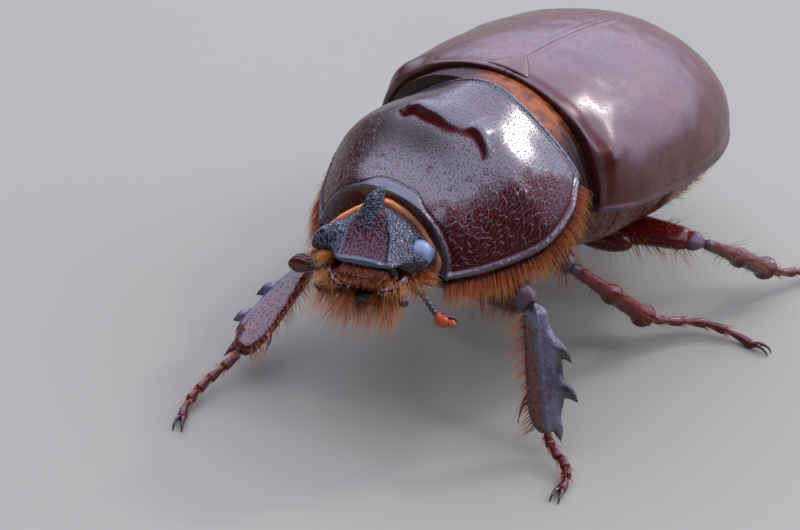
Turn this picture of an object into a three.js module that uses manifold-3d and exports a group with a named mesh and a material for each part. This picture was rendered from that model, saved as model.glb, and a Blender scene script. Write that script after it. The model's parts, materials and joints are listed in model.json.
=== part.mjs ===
// A female European rhinoceros beetle, life size, standing with its left fore leg braced.
// Millimetres, +Z up. The head looks along -Y and the beetle's own left side is +X.
// Every limb, plate and jaw is one closed solid; neighbours meet across a thin seam.
import * as THREE from "three";
import { mergeVertices } from "three/addons/utils/BufferGeometryUtils.js";
import Module from "manifold-3d";

const wasm = await Module();
wasm.setup();

// ---------------------------------------------------------------- driving dimensions

const SEAM = 0.06; // how far a piece stays clear of the neighbour it was cut by
const STANCE_CENTRE = new THREE.Vector3(-0.367, 1.896, 0); // middle of the footprint, from under the waist

const PROTHORAX = {
  waist: [0.55, -0.07, 11.7], // middle of its base, at the height of its side edges' front corners
  yaw: -3,
  pitch: 8.8, // head end down, degrees
  roll: -1.4,
  front: -10.7, // its front corners, from the waist
  frontNotch: 1.05, // how far the middle of the front edge lies behind the corners
  sidePower: 1.16, // together these two give the section its low-shouldered dome
  roofPower: 1.24,
  basePower: 0.33, // added to both at its hind edge, which is flatter
  frontPower: 0.3, // taken from the first at its front edge, which is squarer
};
const HINDBODY = {
  waist: [-0.43, -0.36, 10.87],
  yaw: 1.1,
  pitch: -6.8, // tail end down
  front: 1.3, // the wing cases begin here, and bare skin shows before them
  length: 23.4,
  halfWidth: 9.3,
  rise: 6.95, // from the side edge to the top of the wing cases
  coxaLine: 9.2, // where the thorax ends and the abdomen begins
  shell: 0.75, // thickness of a wing case
};
const HEAD = {
  neck: [-0.28, -9.8, 1.08], // where it leaves the prothorax
  yaw: 25, // turned to the beetle's left
  pitch: -15.5, // nose up, against the prothorax
  roll: 3.5,
  length: 5.6,
  rear: -1.1, // where its skull ends and the folded neck begins
  eyeRadius: 0.75,
  eye: [2.54, -3.0, 0.0],
};

// ---------------------------------------------------------------- curves and solids

const radians = THREE.MathUtils.degToRad;
const lerp = THREE.MathUtils.lerp;
const clamp01 = (t) => THREE.MathUtils.clamp(t, 0, 1);
const ease = (t) => clamp01(t) ** 2 * (3 - 2 * clamp01(t));
const v3 = (p) => new THREE.Vector3(...p);

// A smooth function through a few stations [x, value], in rising x.
function through(stations) {
  const slopes = stations.map((_, i) => {
    const [a, b] = [stations[Math.max(i - 1, 0)], stations[Math.min(i + 1, stations.length - 1)]];
    return (b[1] - a[1]) / (b[0] - a[0]);
  });
  return (x) => {
    const last = stations.length - 1;
    if (x <= stations[0][0]) return stations[0][1];
    if (x >= stations[last][0]) return stations[last][1];
    const i = stations.findIndex((s) => s[0] >= x) - 1;
    const [x0, y0] = stations[i];
    const [x1, y1] = stations[i + 1];
    const span = x1 - x0;
    const t = (x - x0) / span;
    const hermite = (2 * t - 3) * t * t;
    return (
      (hermite + 1) * y0 -
      hermite * y1 +
      ((t - 2) * t + 1) * t * span * slopes[i] +
      (t - 1) * t * t * span * slopes[i + 1]
    );
  };
}

const bump = (x, middle, width) => Math.exp(-(((x - middle) / width) ** 2));
const SIDES = Object.entries({ left: 1, right: -1 });
const signedPower = (value, power) => Math.sign(value) * Math.abs(value) ** power;

// The closed solid of a geometry; doubled points are merged and flat slivers dropped.
function solidOf(geometry) {
  const bare = new THREE.BufferGeometry();
  bare.setAttribute("position", geometry.getAttribute("position"));
  if (geometry.index) bare.setIndex(geometry.index);
  const merged = mergeVertices(bare, 1e-4);
  const kept = [];
  const index = merged.index.array;
  for (let i = 0; i < index.length; i += 3) {
    const [a, b, c] = [index[i], index[i + 1], index[i + 2]];
    if (a !== b && b !== c && c !== a) kept.push(a, b, c);
  }
  const build = (triVerts) =>
    new wasm.Manifold(
      new wasm.Mesh({
        numProp: 3,
        vertProperties: new Float32Array(merged.getAttribute("position").array),
        triVerts: new Uint32Array(triVerts),
      }),
    );
  const solid = build(kept);
  return solid.volume() < 0 ? build(kept.reverse()) : solid;
}

function geometryOf(solid) {
  const mesh = solid.getMesh();
  const geometry = new THREE.BufferGeometry();
  geometry.setAttribute("position", new THREE.BufferAttribute(new Float32Array(mesh.vertProperties), 3));
  geometry.setIndex(new THREE.BufferAttribute(new Uint32Array(mesh.triVerts), 1));
  return geometry;
}

// Moves every point of a geometry to where(x, y, z) says.
function reshape(geometry, where) {
  const merged = new THREE.BufferGeometry();
  merged.setAttribute("position", geometry.getAttribute("position").clone());
  merged.setIndex(geometry.index);
  const points = mergeVertices(merged, 1e-4);
  const position = points.getAttribute("position");
  for (let i = 0; i < position.count; i++) {
    const moved = where(position.getX(i), position.getY(i), position.getZ(i));
    position.setXYZ(i, moved[0], moved[1], moved[2]);
  }
  return points;
}

// A unit drum about Y with domed or flat ends, reshaped by place(angle, reach, t).
function drum({ rings, facets, capRings = 1 }, place) {
  const outline = [];
  for (let i = 0; i < capRings; i++) outline.push(new THREE.Vector2(i / capRings, 0));
  for (let i = 0; i <= rings; i++) outline.push(new THREE.Vector2(1, i / rings));
  for (let i = capRings - 1; i >= 0; i--) outline.push(new THREE.Vector2(i / capRings, 1));
  const lathe = new THREE.LatheGeometry(outline, facets);
  return solidOf(reshape(lathe, (x, y, z) => place(Math.atan2(z, x), Math.hypot(x, z), y)));
}

const smoothPath = (points) => new THREE.CatmullRomCurve3(points.map(v3), false, "centripetal");

// A rod along a path: an ellipse of half sizes wide(t) towards side and deep(t) across it.
function limb({ path, side, wide, deep = wide, rings = 8, facets = 8 }) {
  const curve = path instanceof THREE.Curve ? path : smoothPath(path);
  const across = v3(side).normalize();
  return drum({ rings, facets }, (angle, reach, t) => {
    const along = curve.getTangent(t).normalize();
    const normal = new THREE.Vector3().crossVectors(along, across).normalize();
    const out = new THREE.Vector3().crossVectors(normal, along);
    return curve
      .getPoint(t)
      .addScaledVector(out, Math.cos(angle) * reach * wide(t))
      .addScaledVector(normal, Math.sin(angle) * reach * deep(t))
      .toArray();
  });
}

const rounded = (t, share = 0.12) =>
  Math.sqrt(Math.max(0.02, 1 - (1 - clamp01(t / share)) ** 2)) *
  Math.sqrt(Math.max(0.02, 1 - (1 - clamp01((1 - t) / share)) ** 2));

// The solid with every point moved outwards, to cut a neighbour with room for the seam.
function grown(solid, by = SEAM) {
  const geometry = geometryOf(solid);
  geometry.computeVertexNormals();
  const position = geometry.getAttribute("position");
  const normal = geometry.getAttribute("normal");
  for (let i = 0; i < position.count; i++) {
    position.setXYZ(
      i,
      position.getX(i) + by * normal.getX(i),
      position.getY(i) + by * normal.getY(i),
      position.getZ(i) + by * normal.getZ(i),
    );
  }
  geometry.deleteAttribute("normal");
  return solidOf(geometry);
}

const largest = (solid) =>
  solid.decompose().reduce((best, piece) => (piece.volume() > best.volume() ? piece : best));

// ---------------------------------------------------------------- finishes

const finish = (color, roughness) => new THREE.MeshStandardMaterial({ color, roughness, metalness: 0 });
const SHELL_DARK = finish(0x3a1418, 0.22);
const SHELL_RED = finish(0x5a2018, 0.2);
const HEAD_BLACK = finish(0x1c1214, 0.35);
const LEG_RED = finish(0x4a120e, 0.25);
const SKIN_ORANGE = finish(0xc8702c, 0.6);
const CLUB_ORANGE = finish(0xb8431a, 0.5);
const EYE_GREY = finish(0x2a2a30, 0.1);

// ---------------------------------------------------------------- the groups

const beetle = new THREE.Group();
beetle.position.copy(STANCE_CENTRE).negate();

function jointed(parent, { yaw, pitch, roll = 0 }, at) {
  const group = new THREE.Group();
  group.position.set(...at);
  group.rotation.set(radians(pitch), radians(roll), radians(yaw), "ZXY");
  parent.add(group);
  return group;
}
const prothorax = jointed(beetle, PROTHORAX, PROTHORAX.waist);
const head = jointed(prothorax, HEAD, HEAD.neck);
const hindbody = jointed(beetle, HINDBODY, HINDBODY.waist);
beetle.updateMatrixWorld(true);

// Every finished piece, so that later ones can be cut by it.
const made = new Map();

// Adds a solid to a group as a named mesh, cut clear of the pieces named in clearOf.
function add(name, group, material, solid, clearOf = []) {
  let cut = solid;
  for (const other of clearOf) {
    const neighbour = made.get(other);
    const toGroup = group.matrixWorld.clone().invert().multiply(neighbour.group.matrixWorld);
    cut = cut.subtract(neighbour.grown.transform(toGroup.toArray()));
  }
  const body = largest(cut);
  const mesh = new THREE.Mesh(geometryOf(body), material);
  mesh.name = name;
  group.add(mesh);
  made.set(name, { group, grown: grown(body) });
}

// The half of a solid on one side of a plane given in another group's frame.
function trimmed(solid, group, plane, planeGroup) {
  const toGroup = group.matrixWorld.clone().invert().multiply(planeGroup.matrixWorld);
  const there = plane.clone().applyMatrix4(toGroup);
  return solid.trimByPlane(there.normal.toArray(), -there.constant);
}

// ---------------------------------------------------------------- prothorax

const shieldHalfWidth = through([
  [-10.7, 4.6],
  [-9.2, 5.85],
  [-7.4, 6.85],
  [-5, 7.78],
  [-2.6, 7.68],
  [-1, 6.9],
  [0, 6.35],
]);
const shieldEdge = through([
  [-10.7, 0.15],
  [-6, 0.53],
  [-2, 1.58],
  [0, 1.98],
]);
const shieldRise = through([
  [-10.7, 3.65],
  [-9, 4.3],
  [-6.5, 5.0],
  [-4.6, 5.2],
  [-2.5, 4.7],
  [0, 4.3],
]);
const breastDepth = through([
  [-10.7, 2.2],
  [-7, 5],
  [-3, 5.6],
  [0, 5.2],
]);

// The hollow behind the front edge and the low three-lobed ridge that ends it.
function shieldRelief(x, y) {
  const hollow = -0.75 * bump(x, 0, 3.4) * bump(y, -7.2, 1.9);
  const ridgeLine = -5 + 0.35 * Math.cos((x / 2.6) * Math.PI);
  const ridge = 0.45 * ease((3.3 - Math.abs(x)) / 1.1) * bump(y, ridgeLine, 0.6);
  return hollow + ridge;
}

function prothoraxSurface(angle, reach, t) {
  const station = lerp(PROTHORAX.front, 0, t);
  const [side, lift] = [Math.cos(angle), Math.sin(angle)];
  const top = lift >= 0;
  const flatter = PROTHORAX.basePower * ease((t - 0.5) / 0.5);
  const squarer = PROTHORAX.frontPower * ease((0.25 - t) / 0.25);
  const sideways = top ? PROTHORAX.sidePower + flatter - squarer : 1.5;
  const x = shieldHalfWidth(station) * signedPower(side, sideways);
  const y = station + PROTHORAX.frontNotch * Math.abs(lift) ** 0.8 * (1 - t) ** 2;
  const edge = shieldEdge(station);
  const roof = shieldRise(station) * Math.abs(lift) ** (PROTHORAX.roofPower + flatter);
  const z = edge + (top ? roof + shieldRelief(x, y) * ease(lift * 3) : breastDepth(station) * lift);
  const middle = [0, lerp(-9, 0, t), edge + 0.6];
  return [lerp(middle[0], x, reach), lerp(middle[1], y, reach), lerp(middle[2], z, reach)];
}

// The side edge is nearly a slanting line, so the shield is parted from the breast along it.
const EDGE_LIP = 0.3; // the shield reaches this far below its edge
const edgeSlope = Math.atan2(shieldEdge(0) - shieldEdge(-10.7), 10.7);
const edgeNormal = [0, -Math.sin(edgeSlope), Math.cos(edgeSlope)];
const edgeOffset = edgeNormal[1] * PROTHORAX.front + edgeNormal[2] * shieldEdge(-10.7) - EDGE_LIP;
const below = edgeNormal.map((n) => -n);

const shield = drum({ rings: 14, facets: 28, capRings: 2 }, prothoraxSurface);
const breast = drum({ rings: 7, facets: 18, capRings: 2 }, prothoraxSurface);
add("pronotum", prothorax, SHELL_DARK, shield.trimByPlane(edgeNormal, edgeOffset));
add("prosternum", prothorax, LEG_RED, breast.trimByPlane(below, -edgeOffset + SEAM));

// ---------------------------------------------------------------- head

const headHalfWidth = through([
  [-5.6, 1.45],
  [-5.2, 1.85],
  [-4.3, 2.2],
  [-3.5, 2.95],
  [-3, 3.38],
  [-2.2, 3.3],
  [-1, 3.05],
]);
// Heights of the skull's widest line, crown and throat, and how far its section is a roof.
const headMiddle = through([
  [-4.3, 0],
  [-3, -0.1],
  [-2, -0.5],
  [-1, -0.7],
]);
const headTop = through([
  [-5.6, 0.2],
  [-5, 0.5],
  [-4, 1.1],
  [-3.1, 1.65],
  [-2.3, 2.05],
  [-1, 1.8],
]);
const headBottom = through([
  [-5.6, -0.2],
  [-5, -0.7],
  [-3.5, -1.7],
  [-1.5, -2.3],
]);
const headRoof = through([
  [-5.6, 1],
  [-4.3, 1.15],
  [-3, 1.4],
  [-1, 1.3],
]);

for (const [word, side] of SIDES) {
  const ball = new THREE.SphereGeometry(HEAD.eyeRadius, 9, 6);
  ball.translate(side * HEAD.eye[0], HEAD.eye[1], HEAD.eye[2]);
  add(`eye_${word}`, head, EYE_GREY, solidOf(ball), ["pronotum"]);
}

const skull = drum({ rings: 8, facets: 18 }, (angle, reach, t) => {
  const station = lerp(-HEAD.length, HEAD.rear, t);
  const [side, lift] = [Math.cos(angle), Math.sin(angle)];
  const top = lift >= 0;
  const x = headHalfWidth(station) * signedPower(side, top ? headRoof(station) : 1.4);
  const share = top ? lift ** headRoof(station) : -lift;
  const z = lerp(headMiddle(station), (top ? headTop : headBottom)(station), share);
  return [x * reach, station, z * reach];
});
add("head", head, HEAD_BLACK, skull, ["pronotum", "prosternum", "eye_left", "eye_right"]);

// A short blunt horn, broad across its foot and leaning back.
const horn = limb({
  path: [
    [-0.35, -2.9, 0.8],
    [-0.45, -2.6, 1.7],
    [-0.48, -2.4, 2.4],
    [-0.38, -2.2, 2.95],
    [-0.15, -2.05, 3.46],
  ],
  side: [1, 0, 0],
  wide: (t) => lerp(1.25, 0.3, t ** 0.6),
  deep: (t) => lerp(0.9, 0.27, t ** 0.7),
  rings: 5,
  facets: 10,
});
add("horn", head, HEAD_BLACK, horn, ["head", "pronotum"]);

// The folded skin that joins the head to the prothorax, standing out as a ring behind the skull.
const NECK_MIDDLE = -0.9;
const neck = drum({ rings: 2, facets: 18 }, (angle, reach, t) => {
  const [side, lift] = [Math.cos(angle), Math.sin(angle)];
  const roof = lift >= 0 ? 1.4 : 1;
  return [
    lerp(3.75, 2.95, t) * reach * signedPower(side, roof),
    lerp(HEAD.rear + SEAM, 0.9, t),
    NECK_MIDDLE + lerp(lift >= 0 ? 3.15 : 1.4, lift >= 0 ? 2.5 : 1.2, t) * reach * signedPower(lift, roof),
  ];
});
add("neck", head, SKIN_ORANGE, neck, ["pronotum", "prosternum"]);

// ---------------------------------------------------------------- mouthparts and antennae

add(
  "labrum",
  head,
  LEG_RED,
  limb({
    path: [
      [0, -3.9, -0.75],
      [0.1, -5.1, -0.85],
      [0.2, -5.8, -0.95],
    ],
    side: [1, 0, 0],
    wide: (t) => 1.35 * rounded(t, 0.3),
    deep: (t) => 0.32 * rounded(t, 0.3),
    rings: 4,
    facets: 8,
  }),
  ["head"],
);

add(
  "labium",
  head,
  LEG_RED,
  limb({
    path: [
      [0, -1.6, -2.1],
      [0.1, -3.6, -2.5],
      [0.3, -5.2, -2.25],
    ],
    side: [1, 0, 0],
    wide: (t) => lerp(1.5, 0.9, t) * rounded(t, 0.25),
    deep: (t) => 0.5 * rounded(t, 0.3),
    rings: 5,
    facets: 8,
  }),
  ["head", "prosternum"],
);

for (const [word, side] of SIDES) {
  add(
    `mandible_${word}`,
    head,
    HEAD_BLACK,
    limb({
      path: [
        [side * 1.9, -3.3, -0.95],
        [side * 2.15, -4.6, -1.1],
        [side * 1.7, -5.6, -1.3],
        [side * 1.0, -6.05, -1.45],
      ],
      side: [0, 0, 1],
      wide: (t) => lerp(0.5, 0.25, t) * rounded(t, 0.2),
      deep: (t) => lerp(0.42, 0.25, t) * rounded(t, 0.2),
      rings: 5,
      facets: 6,
    }),
    ["head", "labrum", "labium"],
  );
  add(
    `palp_${word}`,
    head,
    LEG_RED,
    limb({
      path: [
        [side * 1.5, -3.9, -2.2],
        [side * 2.1, -4.6, -2.3],
        [side * 2.45, -5.2, -2.1],
        [side * 2.55, -5.6, -1.7],
      ],
      side: [0, 0, 1],
      wide: (t) => (0.27 + 0.04 * Math.cos(t * 6 * Math.PI)) * rounded(t, 0.1),
      rings: 6,
      facets: 6,
    }),
    ["head", "labium", `mandible_${word}`],
  );
}

// Each antenna: a stalk of beads and a club of three leaves.
const ANTENNAE = {
  left: {
    stalk: [
      [2.1, -3.4, -1.0],
      [2.6, -3.9, -1.4],
      [3.05, -4.0, -1.75],
      [3.9, -4.1, -2.5],
    ],
    club: [
      [3.9, -4.1, -2.5],
      [4.35, -4.1, -3.1],
      [5.25, -4.0, -3.3],
    ],
    side: [0.3, -0.9, -0.2],
  },
  right: {
    stalk: [
      [-2.1, -3.4, -1.0],
      [-2.7, -3.95, -1.05],
      [-3.0, -4.1, -1.05],
      [-3.3, -4.2, -1.1],
    ],
    club: [
      [-3.3, -4.2, -1.1],
      [-3.8, -4.3, -1.25],
      [-4.45, -4.4, -1.5],
    ],
    side: [0, 0.2, 1],
  },
};
for (const [word, shape] of Object.entries(ANTENNAE)) {
  add(
    `antenna_${word}`,
    head,
    HEAD_BLACK,
    limb({
      path: shape.stalk,
      side: shape.side,
      wide: (t) => lerp(0.36, 0.27, t) * (1 + 0.1 * Math.cos(t * 8 * Math.PI)) * rounded(t, 0.06),
      rings: 9,
      facets: 6,
    }),
    ["head", "eye_left", "eye_right", `mandible_${word}`],
  );
  add(
    `antenna_club_${word}`,
    head,
    CLUB_ORANGE,
    limb({
      path: shape.club,
      side: shape.side,
      wide: (t) => 0.5 * rounded(t, 0.3),
      deep: (t) => 0.36 * rounded(t, 0.3),
      rings: 5,
      facets: 8,
    }),
    [`antenna_${word}`, "head"],
  );
}

// ---------------------------------------------------------------- hindbody

// One end of an oval: 1 at the middle, 0 at the tip.
const oval = (y, middle, reach, power) =>
  Math.sqrt(Math.max(0, 1 - (Math.abs(y - middle) / reach) ** power));
const { length: TAIL, halfWidth: WIDE, rise: HIGH } = HINDBODY;
const caseHalfWidth = (y) => WIDE * (y < 9 ? oval(y, 9, 11, 3.6) : oval(y, 9, TAIL + 0.05 - 9, 2.5));
const caseRise = (y) => HIGH * (y < 8 ? oval(y, 8, 15.5, 2.3) : oval(y, 8, TAIL + 0.05 - 8, 2.6));
const bellyDepth = through([
  [0, 4.8],
  [5, 5.6],
  [9.5, 5.1],
  [16, 4.2],
  [21, 2.6],
  [23.4, 0.8],
]);

// The hindbody's outer surface, or one lying inset inside it.
function hindbodyWhole({ inset, tail, rings, facets }) {
  return drum({ rings, facets }, (angle, reach, t) => {
    // Rings crowd towards the tail, where the outline turns fastest.
    const station = lerp(HINDBODY.front, tail, Math.sin((t * Math.PI) / 2) ** 0.9);
    const [side, lift] = [Math.cos(angle), Math.sin(angle)];
    const top = lift >= 0;
    const width = Math.max(caseHalfWidth(station) - inset, 0.02);
    const x = width * signedPower(side, top ? 1.08 : 1.2);
    const z = top
      ? Math.max(caseRise(station) - inset, 0.02) * lift ** 0.86
      : bellyDepth(station) * lift * Math.min(1, width / 5);
    return [x * reach, station, z * reach];
  });
}

const cases = hindbodyWhole({ inset: 0, tail: TAIL, rings: 12, facets: 28 });
const innerTail = TAIL - HINDBODY.shell - SEAM;
const core = hindbodyWhole({ inset: HINDBODY.shell + SEAM, tail: innerTail, rings: 8, facets: 18 });
const hollowCases = cases.subtract(grown(core)).trimByPlane([0, 0, 1], 0);

// The small triangular plate between the wing cases at their base.
const scutellum = limb({
  path: [
    [0, 1.5, caseRise(1.5) - 0.15],
    [0, 2.5, caseRise(2.5) - 0.1],
    [0, 3.6, caseRise(3.6) - 0.05],
  ],
  side: [1, 0, 0],
  wide: (t) => lerp(1.5, 0.25, t),
  deep: () => 0.3,
  rings: 2,
  facets: 8,
});
add("scutellum", hindbody, SHELL_DARK, scutellum);
for (const [word, side] of SIDES) {
  const half = hollowCases.trimByPlane([side, 0, 0], SEAM / 2);
  add(`elytron_${word}`, hindbody, SHELL_RED, half, ["scutellum"]);
}

const shieldBase = new THREE.Plane(new THREE.Vector3(0, 1, 0), -SEAM);
const thorax = core.trimByPlane([0, -1, 0], -HINDBODY.coxaLine);
const abdomen = core.trimByPlane([0, 1, 0], HINDBODY.coxaLine + SEAM);
add("thorax", hindbody, LEG_RED, trimmed(thorax, hindbody, shieldBase, prothorax), ["scutellum"]);
add("abdomen", hindbody, LEG_RED, abdomen);

// The skin that shows between the shield and the wing cases where the waist bends.
const WAIST_INSET = [0.6, 0.25]; // how far it lies inside the wing cases at the sides and on top
const thoraxFront = new THREE.Plane(new THREE.Vector3(0, -1, 0), HINDBODY.front - SEAM);
const skin = drum({ rings: 1, facets: 22 }, (angle, reach, t) => {
  const lift = Math.sin(angle);
  const x = (caseHalfWidth(HINDBODY.front) - WAIST_INSET[0]) * Math.cos(angle);
  const z = lift > 0 ? (caseRise(HINDBODY.front) - WAIST_INSET[1]) * lift : 3.6 * lift;
  return [x * reach, lerp(-3, 3, t), z * reach];
});
const waist = trimmed(trimmed(skin, hindbody, shieldBase, prothorax), hindbody, thoraxFront, hindbody);
add("waist", hindbody, SKIN_ORANGE, waist);

// ---------------------------------------------------------------- legs

// The joints of each leg, from under the waist at floor level, and which way its outer edge faces.
const LEGS = {
  fore_left: {
    coxa: [2.4, -4.6, 7.2],
    knee: [8.6, -7.6, 9.0],
    ankle: [11.1, -8.55, 1.5],
    toe: [[12.2, -9.2, 1.1], [13.25, -9.55, 0.65], [13.8, -10.4, 0.4], [14.0, -11.2, 0.25]],
    outward: [0.8, 0.56, 0.2],
  },
  fore_right: {
    coxa: [-2.4, -4.6, 7.2],
    knee: [-7.0, -7.4, 4.9],
    ankle: [-7.0, -14.1, 1.7],
    toe: [[-7.3, -15.9, 1.1], [-7.3, -17.6, 0.75], [-7.1, -19.0, 0.4], [-6.6, -20.1, 0.22]],
    outward: [-0.95, 0.22, -0.05],
  },
  middle_left: {
    coxa: [2.6, 3.0, 6.2],
    knee: [6.8, -0.4, 7.45],
    ankle: [9.4, 5.5, 2.2],
    toe: [[10.1, 7.0, 1.6], [11.5, 9.2, 1.0], [13.2, 10.1, 0.5], [14.6, 10.2, 0.22]],
    outward: [0.6, -0.3, 0.5],
  },
  middle_right: {
    coxa: [-3.4, 3.0, 6.2],
    knee: [-7.9, 0.4, 7.4],
    ankle: [-10.6, 5.4, 1.9],
    toe: [[-11.5, 6.6, 1.2], [-12.9, 8.3, 0.75], [-14.2, 9.4, 0.4], [-15.3, 10.0, 0.22]],
    outward: [-0.6, -0.3, 0.5],
  },
  hind_left: {
    coxa: [2.6, 8.4, 5.0],
    knee: [10.2, 10.2, 5.8],
    ankle: [11.85, 16.3, 1.9],
    toe: [[12.3, 17.8, 1.2], [13.2, 19.9, 0.75], [14.1, 21.6, 0.4], [14.7, 22.8, 0.22]],
    outward: [0.9, 0, 0.3],
  },
  hind_right: {
    coxa: [-3.8, 8.4, 5.0],
    knee: [-10.2, 10.6, 5.7],
    ankle: [-11.8, 17.2, 1.9],
    toe: [[-12.1, 18.8, 1.2], [-12.8, 20.9, 0.75], [-13.6, 22.7, 0.4], [-14.3, 23.9, 0.22]],
    outward: [-0.9, 0, 0.3],
  },
};

const along = (from, to, t) => v3(from).lerp(v3(to), t);
const offset = (point, direction, by) =>
  point.clone().addScaledVector(v3(direction).normalize(), by).toArray();

const THORN_TIP = 0.1; // half thickness of a tooth's or a spur's point

// A bent, tapering thorn lying in the plane of a shin, placed by shares along it and reach outwards.
function thorn({ knee, ankle, outward }, [foot, footReach], [tip, tipReach], thick) {
  const blade = v3(outward).cross(along(ankle, knee, 1).sub(v3(ankle))).normalize();
  const bend = lerp(foot, tip, 0.35);
  return limb({
    path: [
      offset(along(knee, ankle, foot), outward, footReach),
      offset(along(knee, ankle, bend), outward, lerp(footReach, tipReach, 0.6)),
      offset(along(knee, ankle, tip), outward, tipReach),
    ],
    side: blade.toArray(),
    wide: (t) => Math.max(THORN_TIP, 0.75 * thick * (1 - t) ** 0.7),
    deep: (t) => Math.max(THORN_TIP, thick * (1 - t) ** 0.8),
    rings: 3,
    facets: 4,
  });
}

// The broad digging shin of a fore leg, with three teeth on its outer edge and one spur inside.
const bladeWidth = through([
  [0, 0.5],
  [0.2, 0.85],
  [0.5, 1.1],
  [0.8, 1.05],
  [1, 0.6],
]);
const bladeOffset = (t) => 0.3 * Math.sin(Math.PI * clamp01(t));
function foreTibia(shape) {
  const { knee, ankle, outward } = shape;
  const blade = limb({
    path: [0.0, 0.33, 0.66, 1].map((t) => offset(along(knee, ankle, t), outward, bladeOffset(t))),
    side: outward,
    wide: (t) => bladeWidth(t) * rounded(t, 0.08),
    deep: (t) => 0.52 * rounded(t, 0.08),
    rings: 7,
    facets: 8,
  });
  const teeth = [
    [[0.38, 0.75], [0.5, 1.9], 0.62],
    [[0.67, 0.65], [0.8, 1.9], 0.72],
    [[0.88, 0.2], [1.06, 0.78], 0.55],
    [[0.68, -0.5], [0.91, -1.55], 0.28],
  ];
  return teeth.reduce((whole, [foot, tip, thick]) => whole.add(thorn(shape, foot, tip, thick)), blade);
}

// A walking shin: slender at the knee, keeled past its middle and flared at the ankle.
function walkingTibia(shape) {
  const { knee, ankle, outward } = shape;
  const keels = (t) => 0.22 * bump(t, 0.55, 0.08) + 0.3 * bump(t, 0.97, 0.08);
  const swell = (t) => lerp(0.45, 0.68, ease(t * 1.3)) + keels(t);
  const shaft = limb({
    path: [knee, ankle],
    side: outward,
    wide: (t) => swell(t) * rounded(t, 0.08),
    deep: (t) => 0.85 * swell(t) * rounded(t, 0.08),
    rings: 9,
    facets: 8,
  });
  const spurs = [1, -1].map((side) => thorn(shape, [0.92, side * 0.35], [1.15, side * 0.95], 0.28));
  return spurs.reduce((whole, spur) => whole.add(spur), shaft);
}

const LAST_BEAD = 0.67; // share of the foot before its long last joint

// Five beads and two claws, ending on small flats on the floor.
function tarsus({ ankle, toe, outward }) {
  const path = smoothPath([ankle, ...toe]);
  const beads = limb({
    path,
    side: outward,
    wide: (t) => (t < LAST_BEAD ? 0.25 + 0.09 * ((t * 6) % 1) : lerp(0.24, 0.32, (t - LAST_BEAD) * 3)),
    rings: 8,
    facets: 6,
  });
  const tip = path.getPoint(1);
  const ahead = path.getTangent(1).setZ(0).normalize();
  const sideways = new THREE.Vector3(-ahead.y, ahead.x, 0);
  const clawPoint = (forward, apart, height) =>
    tip.clone().addScaledVector(ahead, forward).addScaledVector(sideways, apart).setZ(height).toArray();
  const claws = [1, -1].map((side) =>
    limb({
      path: [clawPoint(-0.2, 0, 0.25), clawPoint(0.4, side * 0.3, 0.3), clawPoint(0.9, side * 0.42, 0.1)],
      side: sideways.toArray(),
      wide: (t) => lerp(0.27, 0.22, t),
      rings: 2,
      facets: 4,
    }),
  );
  return claws.reduce((whole, claw) => whole.add(claw), beads).trimByPlane([0, 0, 1], 0);
}

// The first joint of a leg: a smooth swelling half sunk in the breast.
const COXAE = {
  fore: { at: [2.1, -3.4, 6.8], size: [2.1, 1.3, 1.5] },
  middle: { at: [2.7, 2.6, 5.6], size: [1.7, 1.1, 1.1] },
  hind: { at: [3.3, 7.9, 5.1], size: [3.1, 1.2, 1.1] },
};
function coxa(pair, side) {
  const { at, size } = COXAE[pair];
  const ball = new THREE.SphereGeometry(1, 8, 4);
  ball.rotateX(Math.PI / 2);
  ball.scale(...size);
  ball.translate(side * at[0], at[1], at[2]);
  return solidOf(ball);
}

// Half thickness of each thigh, up and across.
const FEMORA = { fore: [1.7, 1.3], middle: [1.2, 1.1], hind: [1.05, 1.55] };
function femur({ coxa: root, knee }, [tall, broad]) {
  const taper = (t) => rounded(t, 0.22) * lerp(1, 0.6, ease(t));
  return limb({
    path: [root, offset(along(root, knee, 0.5), [0, 0, 1], 0.15), knee],
    side: [0, 0, 1],
    wide: (t) => tall * taper(t),
    deep: (t) => broad * taper(t),
    rings: 6,
    facets: 7,
  });
}

const FACE = ["head", "neck", "labium", "palp_left", "palp_right", "antenna_left", "antenna_right"];
for (const [leg, shape] of Object.entries(LEGS)) {
  const [pair, word] = leg.split("_");
  const trunk = pair === "fore" ? ["prosternum", "pronotum"] : ["thorax", "abdomen", `elytron_${word}`];
  const ahead = pair === "fore" ? FACE : ["prosternum"];
  add(`coxa_${leg}`, beetle, LEG_RED, coxa(pair, word === "left" ? 1 : -1), trunk);
  add(`femur_${leg}`, beetle, LEG_RED, femur(shape, FEMORA[pair]), [`coxa_${leg}`, ...trunk, ...ahead]);
  const shin = pair === "fore" ? foreTibia(shape) : walkingTibia(shape);
  add(`tibia_${leg}`, beetle, LEG_RED, shin, [`femur_${leg}`, ...trunk]);
  add(`tarsus_${leg}`, beetle, LEG_RED, tarsus(shape), [`tibia_${leg}`]);
}

export default beetle;
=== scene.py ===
"""A female rhinoceros beetle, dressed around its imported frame.

Lengths are in millimetres in the classes and become metres when a mesh is made. The head
looks along -Y and the beetle's own left side is +X, as in the frame.
"""

import json
import logging
import math
from dataclasses import dataclass, field
from enum import Enum
from typing import Callable, Optional, Sequence

import bmesh
import bpy
import numpy as np
from mathutils import Matrix, Vector, noise

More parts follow.
